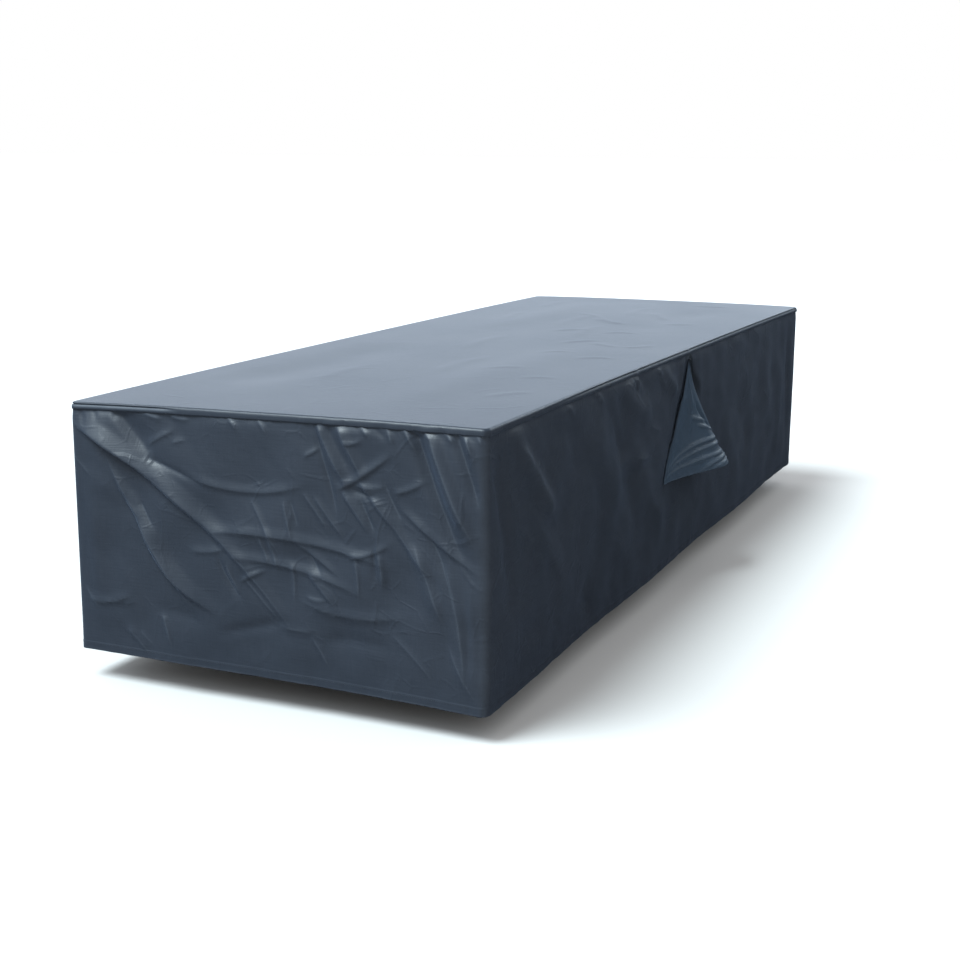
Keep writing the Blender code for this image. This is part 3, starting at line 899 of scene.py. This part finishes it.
def cloth_finish(name, deep, pale, worn_and_lit):
    """Coated polyester in these three colours."""
    cloth = Finish(name)
    measure = cloth.node("ShaderNodeUVMap", {"uv_map": "Cloth"}, {})
    place = cloth.place()
    weave = weave_of(cloth, measure)
    slubs = slubs_of(cloth, measure)
    cloudy = cloth.noise(place, 3.5, 3.0)
    fine = cloth.noise(place, 90.0, 3.0, 0.6)
    crumple = crumple_of(cloth, place, (cloudy * 4 - 1.3).clamped())
    wear_and_highlight = cloth.mark("wear_and_highlight")
    tone = cloudy * CLOUDY_TONE + weave * WEAVE_TONE + slubs * SLUB_TONE - TONE_CUT
    colour = cloth.mix(tone, deep, pale)
    # Paler where the cloth is worn, and painted highlight on crisp creases and the ledge of the turned
    # edge.
    colour = cloth.mix(wear_and_highlight * (EVEN_WEAR_AND_HIGHLIGHT + fine * SPOTTY_WEAR_AND_HIGHLIGHT), colour, worn_and_lit)
    # Painted shade beside the hood's seams.
    colour = cloth.mix(cloth.mark("painted_seam_shade") * PAINTED_SHADE_SHARE, colour, SEAM_SHADOW)
    relief = weave * WEAVE_DEPTH + crumple * CRUMPLE_DEPTH + slubs * SLUB_DEPTH
    bump = cloth.node("ShaderNodeBump", {}, {"Strength": 1.0, "Distance": 1.0, "Height": relief})
    cloth.feed(
        Base_Color=colour,
        Roughness=0.40 + cloudy * 0.08 + wear_and_highlight * 0.12,
        Normal=bump,
        Sheen_Weight=0.10,
        Sheen_Roughness=0.35,
        Sheen_Tint=SHEEN_TINT,
        IOR=1.45,
    )
    return cloth.material


COVER_CLOTH = cloth_finish(
    "cover cloth",
    deep=(0.0140, 0.0195, 0.0295, 1),
    pale=(0.024, 0.031, 0.045, 1),
    worn_and_lit=(0.050, 0.064, 0.086, 1),
)
# Painted light: the hood is the cover's cloth, painted lighter and bluer because its face turns more
# towards the foot end and the light.
HOOD_CLOTH_PAINTED_LIGHTER = cloth_finish(
    "hood cloth",
    deep=(0.018, 0.034, 0.056, 1),
    pale=(0.028, 0.048, 0.076, 1),
    worn_and_lit=(0.060, 0.084, 0.115, 1),
)
print("cloth nodes:", len(COVER_CLOTH.node_tree.nodes))

# %% The thread's finish
THREAD_DARK = (0.015, 0.02, 0.03, 1)
THREAD_LIGHT = (0.03, 0.04, 0.055, 1)
thread_finish = Finish("thread")
twist = thread_finish.noise(thread_finish.place(), 900.0)
thread_finish.feed(
    Base_Color=thread_finish.mix(twist, THREAD_DARK, THREAD_LIGHT),
    Roughness=0.55 + twist * 0.2,
)
THREAD = thread_finish.material
print("thread nodes:", len(THREAD.node_tree.nodes))


# %% [markdown]
# ## Making a sheet
#
# Each cloth starts as one of bmesh's grids. Its vertices are counted off in columns and rows and moved
# to where the cloth hangs. On the skirt's crisp creases the faces are cut in four first. A grid keeps
# the cloth's own measure, so the UV map is in metres of cloth. A Solidify modifier then gives it a
# thickness, and so a real edge at the hem.


# %% A grid moved onto the cloth
def counted_grid(columns, rows):
    """A bmesh grid, with the column and the row of each of its vertices."""
    form = bmesh.new()
    across, deep = len(columns) - 1, len(rows) - 1
    bmesh.ops.create_grid(form, x_segments=across, y_segments=deep, size=1.0)
    flat = np.array([vertex.co[:2] for vertex in form.verts])
    column = np.rint((flat[:, 0] + 1) / 2 * across).astype(int)
    row = np.rint((flat[:, 1] + 1) / 2 * deep).astype(int)
    return form, columns[column], rows[row]


CREASE_BAND = 0.0032
CREASE_CUT = 0.3


def refine(form, across, down, folds):
    """Cuts the faces on crisp creases in four, and measures the vertices again."""
    for vertex, a, b in zip(form.verts, across, down):
        vertex.co = (a, b, 0)
    form.faces.ensure_lookup_table()
    middles = np.array([face.calc_center_median()[:2] for face in form.faces])
    marks = crease_marks(folds, middles[:, 0], middles[:, 1], CREASE_BAND)
    creased = [form.faces[index] for index in np.flatnonzero(marks > CREASE_CUT)]
    edges = list({edge for face in creased for edge in face.edges})
    bmesh.ops.subdivide_edges(form, edges=edges, cuts=1, use_grid_fill=True)
    form.verts.index_update()
    flat = np.array([vertex.co[:2] for vertex in form.verts])
    return flat[:, 0], flat[:, 1]


def move_to(form, places):
    for vertex, place in zip(form.verts, places):
        vertex.co = place


def add_uv(form, measures):
    """Gives each corner of each face the measure of its vertex."""
    layer = form.loops.layers.uv.new("Cloth")
    for face in form.faces:
        for loop in face.loops:
            loop[layer].uv = measures[loop.vert.index]


def add_marks(form, name, values):
    """Keeps a value for each vertex, for the finish to read."""
    layer = form.verts.layers.float.new(name)
    for vertex, value in zip(form.verts, values):
        vertex[layer] = value


def add_piece(name, form, material):
    """A form as an object with this finish."""
    mesh = bpy.data.meshes.new(name)
    form.to_mesh(mesh)
    form.free()
    mesh.shade_smooth()
    mesh.materials.append(material)
    piece = bpy.data.objects.new(name, mesh)
    bpy.context.scene.collection.objects.link(piece)
    return piece


HOLLOW = Vector((0, 0, -0.2))


def finish_sheet(name, form, material, node):
    """Turns a form into a piece of cloth with a thickness, in the place of its solid."""
    bmesh.ops.recalc_face_normals(form, faces=form.faces)
    form.faces.ensure_lookup_table()
    outer = form.faces[0]
    if outer.normal.dot(outer.calc_center_median() - HOLLOW) < 0:
        bmesh.ops.reverse_faces(form, faces=form.faces)
    piece = add_piece(name, form, material)
    thickness = piece.modifiers.new("Cloth", "SOLIDIFY")
    thickness.thickness = CLOTH
    thickness.offset = 0.0
    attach(piece, "root")
    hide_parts(node)
    print(name, len(piece.data.polygons) * 4, "triangles")
    return piece


def evenly(start, end, steps):
    return np.linspace(start, end, steps + 1)


# %% [markdown]
# ## The skirt
#
# Two lengths of cloth make the skirt, and each is one grid. The foot end is looked at from near and has
# the most creases, so its columns are closest together, and the next closest are beside the hood. Rows
# are close below the seam, where the puckers are, and at the hem's stitches.

# %% Columns and rows of the skirt
SKIRT_TOP = 0.0058
HOOD_MIDDLE = 1.045
SEAM_ROWS = (SKIRT_TOP, 0.0078, 0.0100, 0.0122, 0.0140, 0.0160, 0.0185, 0.0215, 0.0250)
HEM_ROWS = (0.0170, 0.0152, 0.0144, 0.0136, 0.0126, 0.0095, 0.0060, 0.0030, 0.0010, 0.0)
LOW_ROWS = 0.30
UPPER_SHARE = 0.78
NEAR_STEPS_DOWN = 84
FAR_STEPS_DOWN = 40
CORNER_STEPS = 8
HOOD_SIDE = 0.12


def skirt_rows(steps):
    """Rows from the seam to the hem, with so many between them, most of them above LOW_ROWS."""
    hem = DROP - np.array(HEM_ROWS)
    upper = evenly(SEAM_ROWS[-1], LOW_ROWS, round(UPPER_SHARE * steps))[1:]
    lower = evenly(LOW_ROWS, hem[0], round((1 - UPPER_SHARE) * steps))[1:-1]
    return np.concatenate([SEAM_ROWS, upper, lower, hem])


def skirt_columns(runs):
    """Columns through runs of (start, end, steps) that follow each other."""
    return np.concatenate([[runs[0][0]], *(evenly(*run)[1:] for run in runs)])


def corner_run(around):
    """The columns of a round corner."""
    return (around - CORNER_RADIUS, around + CORNER_RADIUS, CORNER_STEPS)


near_runs = (
    corner_run(FOOT_END),
    (FOOT_END + CORNER_RADIUS, VENT_SIDE - CORNER_RADIUS, 194),
    corner_run(VENT_SIDE),
    (VENT_SIDE + CORNER_RADIUS, VENT_SIDE + HOOD_MIDDLE, 92),
    (VENT_SIDE + HOOD_MIDDLE, VENT_SIDE + HOOD_MIDDLE + HOOD_SIDE, 13),
    (VENT_SIDE + HOOD_MIDDLE + HOOD_SIDE, HEAD_END - CORNER_RADIUS, 44),
    corner_run(HEAD_END),
)
SEWN_GAP = 0.0006
far_runs = (
    (HEAD_END + CORNER_RADIUS + SEWN_GAP, PLAIN_SIDE - CORNER_RADIUS, 80),
    corner_run(PLAIN_SIDE),
    (PLAIN_SIDE + CORNER_RADIUS, GIRTH - CORNER_RADIUS - SEWN_GAP, 200),
)
near_columns = skirt_columns(near_runs)
far_columns = skirt_columns(far_runs)
near_rows, far_rows = skirt_rows(NEAR_STEPS_DOWN), skirt_rows(FAR_STEPS_DOWN)
print("columns:", len(near_columns), "and", len(far_columns))
print("rows:", len(near_rows), "and", len(far_rows))


# %% Wear and painted highlight on the skirt, and painted shade beside the hood
CORNER_AROUNDS = (FOOT_END, VENT_SIDE, HEAD_END, PLAIN_SIDE, GIRTH)
CORNER_RUB = 0.010
HEM_RUB = 0.004
HEM_LINE = 0.0015
WORN_RISE = (0.003, 0.012)
WORN_PITCHES = (0.19, 0.43)
HEM_WEAR, LINE_WEAR, CORNER_WEAR, RIDGE_PALE, CREASE_HIGHLIGHT = 0.6, 0.05, 0.3, 0.15, 0.45
# Painted shade on the skirt along the hood's seams: two lines, their widths, and the left one's share.
HOOD_LEFT_SHADE = folds_from((1036, 10, 965, 150, 855, 275, 0, 18, 18, 1))
HOOD_RIGHT_SHADE = folds_from((1046, 4, 1096, 62, 1146, 112, 0, 12, 12, 1))
HOOD_SHADE_WIDTHS = (0.018, 0.013)
HOOD_LEFT_SHARE = 0.6


def bell(value, width):
    """1 at zero, and falling to nothing on both sides."""
    return np.exp(-((value / width) ** 2))


def skirt_wear_and_highlight(around, down, folds):
    """Paler at its hem and corners, where the cloth rubs, and on the tops of its folds, with a painted
    highlight along its crisp creases.
    """
    hem = HEM_WEAR * smooth(down, DROP - HEM_RUB, DROP)
    line = LINE_WEAR * bell(down - DROP + HEM_DEPTH, HEM_LINE)
    corner = CORNER_WEAR * sum(bell(around - at, CORNER_RUB) for at in CORNER_AROUNDS)
    ridge = RIDGE_PALE * smooth(heights(folds, around, down), *WORN_RISE)
    # Painted highlight: the crisp creases are painted paler.
    creases = CREASE_HIGHLIGHT * crease_marks(folds, around, down)
    uneven = 0.6 + 0.4 * wave(around, WORN_PITCHES[0], 2 * wave(around, WORN_PITCHES[1]))
    return np.clip(uneven * (hem + line) + corner + ridge + creases, 0, 1)


def hood_shade(around, down):
    """Painted shade: how dark the skirt is painted beside the hood's seams, which draw it in behind the
    hood.
    """
    left, right = (
        crease_marks(shifted(shade, VENT_SIDE), around, down, width)
        for shade, width in zip((HOOD_LEFT_SHADE, HOOD_RIGHT_SHADE), HOOD_SHADE_WIDTHS)
    )
    return np.maximum(HOOD_LEFT_SHARE * left, right)


print("the hem's wear on the foot end:", skirt_wear_and_highlight(np.array([0.3]), np.array([DROP]), ()).round(2))


# %% Sew the skirt
def make_skirt(name, columns, rows, far_piece, node):
    """One length of the skirt."""
    folds = ROUND_FOLDS if far_piece else NEAR_FOLDS
    form, around, down = counted_grid(columns, rows)
    around, down = refine(form, around, down, folds)
    move_to(form, skirt_points(around, down, far_piece=far_piece))
    add_uv(form, np.stack([around, down], axis=-1))
    add_marks(form, "wear_and_highlight", skirt_wear_and_highlight(around, down, folds))
    # Painted shade beside the hood's seams.
    add_marks(form, "painted_seam_shade", hood_shade(around, down))
    return finish_sheet(name, form, COVER_CLOTH, node)


near_skirt = make_skirt("near_skirt_cloth", near_columns, near_rows, False, "near_skirt")
far_skirt = make_skirt("far_skirt_cloth", far_columns, far_rows, True, "far_skirt")

# %% [markdown]
# ## The top and its turned edge
#
# The top is a rectangle whose edge is turned down over the skirt and stitched flat, which makes the
# thin double line along its edge. The flat part is a grid. The turned edge is extruded from the grid's
# rim, ring by ring: over a shoulder, into the groove of the inner seam, and down the stitched strip.
# Near the soft corner the groove is pulled out, and at three places the seam is gathered into a knot.

# %% The rings of the turned edge
SHOULDER = 0.004


class Ring(NamedTuple):
    """How far the next ring of the turned edge is out from the one before, and how far down.

    The second pair is for the soft stretches, where the strip slants and has no groove.
    """

    out: float
    down: float
    soft_out: float
    soft_down: float
    wear_and_highlight: float


# Each ring's wear paints it paler. This is real wear where the edge rubs; on the two rings of the ledge
# below the groove it is a painted highlight, the pale line along the turned edge.
EDGE_RINGS = (
    Ring(0.0008, 0.0002, 0.0010, 0.0002, wear_and_highlight=0.05),
    Ring(0.0012, 0.0006, 0.0014, 0.0007, wear_and_highlight=0.10),
    Ring(0.0008, 0.0010, 0.0010, 0.0010, wear_and_highlight=0.00),
    Ring(-0.0016, 0.0008, 0.0006, 0.0012, wear_and_highlight=0.00),
    Ring(-0.0002, 0.0008, 0.0003, 0.0014, wear_and_highlight=0.00),
    Ring(0.0016, 0.0010, 0.0001, 0.0014, wear_and_highlight=0.90),
    Ring(0.0016, 0.0010, 0.0000, 0.0014, wear_and_highlight=1.00),
    Ring(0.0002, 0.0030, -0.0001, 0.0022, wear_and_highlight=0.15),
    Ring(-0.0002, 0.0028, -0.0002, 0.0017, wear_and_highlight=0.15),
)
print("the turned edge is", round(sum(ring.down for ring in EDGE_RINGS) * 1000, 1), "mm deep")


# %% The outline of the top
CORNER_LINES = 4


def edge_lines(half, radius, steps):
    """Lines of a grid with close ones at both ends, where its corners are round."""
    inner = half - radius
    close = evenly(inner, half, CORNER_LINES)[1:]
    return np.concatenate([-close[::-1], evenly(-inner, inner, steps), close])


def rounded(x, y, half_length, half_width, radius):
    """Points of a rectangle, moved so that its corners are round."""
    px = np.maximum(abs(x) - (half_length - radius), 0)
    py = np.maximum(abs(y) - (half_width - radius), 0)
    size = np.hypot(px, py)
    scale = np.where(size > 0, np.maximum(px, py) / np.where(size > 0, size, 1), 1)
    new_x = np.sign(x) * (np.minimum(abs(x), half_length - radius) + px * scale)
    new_y = np.sign(y) * (np.minimum(abs(y), half_width - radius) + py * scale)
    return new_x, new_y


def around_of(x, y):
    """The distance round the edge of a point that lies near it."""
    past_x = abs(x) - LENGTH / 2
    past_y = abs(y) - WIDTH / 2
    if past_x > past_y:
        return WIDTH / 2 - y if x < 0 else HEAD_END + WIDTH / 2 + y
    return VENT_SIDE + LENGTH / 2 + x if y < 0 else PLAIN_SIDE + LENGTH / 2 - x


def rim_direction(x, y):
    """The direction outwards at a point near the edge."""
    px = max(abs(x) - (LENGTH / 2 - CORNER_RADIUS), 0.0)
    py = max(abs(y) - (WIDTH / 2 - CORNER_RADIUS), 0.0)
    size = hypot(px, py)
    return (px / size if x > 0 else -px / size), (py / size if y > 0 else -py / size)


print("outwards at the foot end:", rim_direction(-LENGTH / 2, 0.0))

# %% Puckers, knots and the groove
PUCKER = 0.00016
PUCKER_PITCHES = (0.0125, 0.083)
PUCKER_EVERYWHERE = 0.25
PUCKER_MOST = 1.2
TIGHT_PLACES = ((0.67, 0.08, 1.0), (0.49, 0.04, 0.6))
KNOTS = (0.700, 1.045, 2.085)
KNOT_WIDTH = 0.008
KNOT_OUT = 0.0002


def pucker(around):
    """The small waves of a tight seam, strongest beside the soft corner."""
    tight = sum(size * bell(around - at, width) for at, width, size in TIGHT_PLACES)
    uneven = wave(around, PUCKER_PITCHES[0], 3 * wave(around, PUCKER_PITCHES[1]))
    return np.clip(PUCKER_EVERYWHERE + tight, 0, PUCKER_MOST) * uneven


def knot(around):
    """1 where the seam is gathered into a knot."""
    return sum(bell(around - VENT_SIDE - at, KNOT_WIDTH) for at in KNOTS)


GROOVE_STARTS = (0.165, 0.225)
GROOVE_RETURNS = (VENT_SIDE + 0.20, VENT_SIDE + 0.66)


def groove_share(around):
    """How clearly the groove above the strip shows: not near the soft corner."""
    return 1 - smooth(around, *GROOVE_STARTS) * (1 - smooth(around, *GROOVE_RETURNS))


print("knots at", [round(VENT_SIDE + at, 3) for at in KNOTS], "m round the edge")

# %% Sew the top
TOP_STEPS = (250, 90)
SOFT_LESS_PALE = 0.9
KNOT_WEAR = 0.4

inset = SHOULDER + SOLID_CLOTH / 2
half_length, half_width = LENGTH / 2 - inset, WIDTH / 2 - inset
corner_radius = CORNER_RADIUS - inset
top_form, top_x, top_y = counted_grid(
    edge_lines(half_length, corner_radius, TOP_STEPS[0]),
    edge_lines(half_width, corner_radius, TOP_STEPS[1]),
)
top_x, top_y = rounded(top_x, top_y, half_length, half_width, corner_radius)
top_z = top_height(top_x, top_y, TOP_CREASES)
move_to(top_form, np.stack([top_x, top_y, top_z], axis=-1))
measures = [vertex.co.xy.copy() for vertex in top_form.verts]
wear_and_highlight = [0.0] * len(measures)
rim_edges = [edge for edge in top_form.edges if edge.is_boundary]
depth = 0.0
for ring in EDGE_RINGS:
    made = bmesh.ops.extrude_edge_only(top_form, edges=rim_edges)["geom"]
    depth += abs(ring.down) + abs(ring.out)
    for vertex in (item for item in made if isinstance(item, bmesh.types.BMVert)):
        nx, ny = rim_direction(vertex.co.x, vertex.co.y)
        at = around_of(vertex.co.x, vertex.co.y)
        knotted = float(knot(at))
        soft = max(1 - float(groove_share(at)), min(knotted, 1.0))
        out = ring.out + (ring.soft_out - ring.out) * soft
        out += PUCKER * float(pucker(at)) + KNOT_OUT * knotted
        fall = ring.down + (ring.soft_down - ring.down) * soft
        vertex.co += Vector((nx * out, ny * out, -fall))
        measures.append(vertex.co.xy + Vector((nx, ny)) * depth)
        wear_and_highlight.append(ring.wear_and_highlight * (1 - SOFT_LESS_PALE * soft) + KNOT_WEAR * knotted)
    rim_edges = [
        item for item in made if isinstance(item, bmesh.types.BMEdge) and item.is_boundary
    ]
top_form.verts.index_update()
add_uv(top_form, measures)
add_marks(top_form, "wear_and_highlight", wear_and_highlight)
top = finish_sheet("top_cloth", top_form, COVER_CLOTH, "top_panel")

# %% [markdown]
# ## The vent hood
#
# The hood is a triangle of the same cloth, sewn to the skirt along both slanted edges. It is wider than
# the place it is sewn to, so it stands out as a pocket with an open, hemmed mouth, and lies pinched and
# flat at its top. Curved wrinkles run across it above the mouth. Its folds are measured in shares: from
# its left seam, 0, to its right one, 1, and from its apex, 0, to its mouth, 1.

# %% The hood's surface
HOOD_TOP = 0.020
HOOD_HEIGHT = 0.234
HOOD_HALF_WIDTH = 0.165
HOOD_APEX_HALF_WIDTH = 0.004
HOOD_BULGE = 0.072
HOOD_BULGE_POWER = 1.9
HOOD_PEAK = 0.70
HOOD_RIGHT_SAG = -0.012
HOOD_STAND = 0.0010
HOOD_HEM = 0.022
HOOD_HEM_EDGE = 0.003
HOOD_PINCH = 1.10
HOOD_CREASE = 0.009
HOOD_FOLDS = (
    Fold((0.03, 0.90), (0.20, 0.70), (0.88, 0.76), 0.0050, 0.018, 0.009, 0.9),
    Fold((0.08, 0.90), (0.30, 0.77), (0.94, 0.81), 0.0045, 0.014, 0.009, 0.9),
    Fold((0.02, 0.95), (0.30, 0.86), (0.98, 0.89), 0.0040, 0.014, 0.009, 0.9),
    Fold((0.40, 0.99), (0.60, 0.90), (0.96, 0.93), 0.0040, 0.014, 0.008, 0.9),
    Fold((0.52, 0.99), (0.70, 0.95), (0.94, 0.97), 0.0030, 0.012, 0.008, 0.9),
    Fold((0.36, 0.10), (0.40, 0.30), (0.44, 0.46), 0.0060, 0.080, 0.060, 0.5),
    Fold((0.40, 0.34), (0.40, 0.50), (0.30, 0.66), 0.0050, 0.050, 0.040, 0.5),
    Fold((0.60, 0.40), (0.70, 0.56), (0.76, 0.70), -0.0050, 0.040, 0.040, 0.0),
    Fold((0.36, 0.50), (0.52, 0.54), (0.76, 0.60), 0.0035, 0.014, 0.010, 0.9),
    Fold((0.50, 0.60), (0.64, 0.62), (0.82, 0.70), 0.0035, 0.014, 0.010, 0.9),
)


def hood_points(across, fall):
    """Points of the hood at these shares."""
    spread = (HOOD_HALF_WIDTH - HOOD_APEX_HALF_WIDTH) * fall**HOOD_PINCH
    around = VENT_SIDE + HOOD_MIDDLE + (2 * across - 1) * (HOOD_APEX_HALF_WIDTH + spread)
    down = HOOD_TOP + HOOD_HEIGHT * fall + HOOD_RIGHT_SAG * across * fall
    skew = log(0.5) / log(HOOD_PEAK)
    loose = np.sin(pi * across**skew)
    bulge = HOOD_BULGE * fall**HOOD_BULGE_POWER * loose
    folds = heights(HOOD_FOLDS, across, fall) * np.minimum(1, 3 * loose * fall)
    hem_top = 1 - HOOD_HEM / HOOD_HEIGHT
    hem = HEM_RISE * smooth(fall, hem_top - HOOD_HEM_EDGE, hem_top + HOOD_HEM_EDGE)
    return skirt_points(around, down, out=CLOTH + HOOD_STAND + bulge + folds + hem)


print("the mouth stands out to y =", hood_points(np.array([0.7]), np.ones(1)).round(3)[0, 1])

# %% Sew the hood
HOOD_STEPS = (110, 100)
HOOD_SLACK = 1.2
HOOD_CLOTH_HEIGHT = 0.27
MOUTH_RUB = (0.985, 1.0)
MOUTH_WEAR = 0.5
# Painted shade along the hood's seams: where it starts and ends across, and where it fades down.
LEFT_SHADE = (0.001, 0.006)
LEFT_SHADE_FADES = (0.6, 1.0)
RIGHT_SHADE = (0.009, 0.020)
RIGHT_SHADE_FADES = (0.3, 0.5)

form, across, fall = counted_grid(evenly(0, 1, HOOD_STEPS[0]), evenly(0, 1, HOOD_STEPS[1]))
move_to(form, hood_points(across, fall))
cloth_across = (across - 0.5) * fall * 2 * HOOD_HALF_WIDTH * HOOD_SLACK
add_uv(form, np.stack([cloth_across, fall * HOOD_CLOTH_HEIGHT], axis=-1))
# Wear at the mouth's hem, and painted highlight along the hood's crisp wrinkles.
edge_rub = MOUTH_WEAR * smooth(fall, *MOUTH_RUB)
hood_crease_highlight = crease_marks(HOOD_FOLDS, across, fall, HOOD_CREASE)
add_marks(form, "wear_and_highlight", np.maximum(edge_rub, hood_crease_highlight))
# Painted shade along both seams: the left one all the way, half as dark at the mouth, the right one
# near the apex.
width = 2 * HOOD_HALF_WIDTH * fall + 2 * HOOD_APEX_HALF_WIDTH
left_seam_shade = 1 - smooth(across * width, *LEFT_SHADE)
left_seam_shade = left_seam_shade * (1 - 0.5 * smooth(fall, *LEFT_SHADE_FADES))
right_seam_shade = 1 - smooth((1 - across) * width, *RIGHT_SHADE)
right_seam_shade = right_seam_shade * (1 - smooth(fall, *RIGHT_SHADE_FADES))
add_marks(form, "painted_seam_shade", np.maximum(left_seam_shade, right_seam_shade))
hood = finish_sheet("hood_cloth", form, HOOD_CLOTH_PAINTED_LIGHTER, "vent_hood")

# %% [markdown]
# ## Stitches
#
# Lockstitches show as short, slightly sunken beads of thread. Each is a small ball drawn out along the
# seam, and every row of them is one joined mesh, because thousands of objects would be slow.


# %% A row of stitches
STITCH_LENGTH = 0.0024
STITCH_WIDTH = 0.0005
STITCH_RISE = 0.0118
STITCH_LIFT = CLOTH / 2 + 0.0001
STITCH_MARGIN = 0.004


def stitch_row(form, points, outwards):
    """Adds a stitch between each point and the next, lying on the cloth."""
    for start, end, out in zip(points[:-1], points[1:], outwards[:-1]):
        run = Vector(end - start)
        ahead = run.normalized()
        face = Vector(out).normalized()
        across = face.cross(ahead).normalized()
        turn = Matrix((ahead, across, ahead.cross(across))).transposed().to_4x4()
        size = Matrix.Diagonal((STITCH_LENGTH / 2, STITCH_WIDTH / 2, STITCH_WIDTH / 2, 1))
        middle = Matrix.Translation(Vector((start + end) / 2))
        ball = middle @ turn @ size
        bmesh.ops.create_icosphere(form, subdivisions=1, radius=1.0, matrix=ball)


def finish_stitches(name, form):
    piece = add_piece(name, form, THREAD)
    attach(piece, "root")
    print(name, len(piece.data.polygons), "triangles")
    return piece


def with_height(flat, z):
    """Points or directions in the plane, each with its own height."""
    return np.concatenate([flat, np.broadcast_to(z, len(flat))[:, None]], axis=1)


def hem_stitches(name, columns, far_piece):
    """The stitches along the hem of one length of the skirt."""
    around = np.arange(columns[0] + STITCH_MARGIN, columns[-1] - STITCH_MARGIN, STITCH_PITCH)
    down = np.full(around.shape, DROP - STITCH_RISE)
    places = skirt_points(around, down, out=STITCH_LIFT, far_piece=far_piece)
    form = bmesh.new()
    stitch_row(form, places, with_height(rim(around, 0.0)[1], 0.0))
    return finish_stitches(name, form)


near_stitches = hem_stitches("near_hem_stitches", near_columns, False)
far_stitches = hem_stitches("far_hem_stitches", far_columns, True)

# %% The stitches on the turned edge
STRIP_STITCH_DOWN = 0.0088
edge_around = np.arange(0.0, GIRTH, STITCH_PITCH)
edge_place, edge_out = rim(edge_around, SOLID_CLOTH / 2 - STITCH_LIFT)
edge_mid = rim(edge_around, SOLID_CLOTH / 2 + SHOULDER)[0]
edge_z = top_height(edge_mid[:, 0], edge_mid[:, 1]) - STRIP_STITCH_DOWN
top_thread = bmesh.new()
stitch_row(top_thread, with_height(edge_place, edge_z), with_height(edge_out, 0.0))
top_stitches = finish_stitches("edge_stitches", top_thread)

# %% The stitches on the hood
NORMAL_STEP = 0.004
MOUTH_ROW_RISE = 0.018
MOUTH_STITCHES = (0.03, 0.97, 105)
SEAM_STITCHES = (0.05, 0.985, 80)
SEAM_ROWS_ACROSS = (0.035, 0.965)


def hood_stitch_points(across, fall):
    """A row on the hood's outer face, raised by its own normal."""
    step = NORMAL_STEP
    right = hood_points(np.minimum(across + step, 1), fall) - hood_points(across - step, fall)
    below = hood_points(across, np.minimum(fall + step, 1)) - hood_points(across, fall - step)
    normal = np.cross(below, right)
    normal /= np.linalg.norm(normal, axis=1, keepdims=True)
    return hood_points(across, fall) + normal * STITCH_LIFT, normal


hood_thread = bmesh.new()
mouth = np.linspace(*MOUTH_STITCHES)
mouth_row = np.full(mouth.shape, 1 - MOUTH_ROW_RISE / HOOD_HEIGHT)
stitch_row(hood_thread, *hood_stitch_points(mouth, mouth_row))
slant = np.linspace(*SEAM_STITCHES)
for side in SEAM_ROWS_ACROSS:
    stitch_row(hood_thread, *hood_stitch_points(np.full(slant.shape, side), slant))
hood_stitches = finish_stitches("hood_stitches", hood_thread)
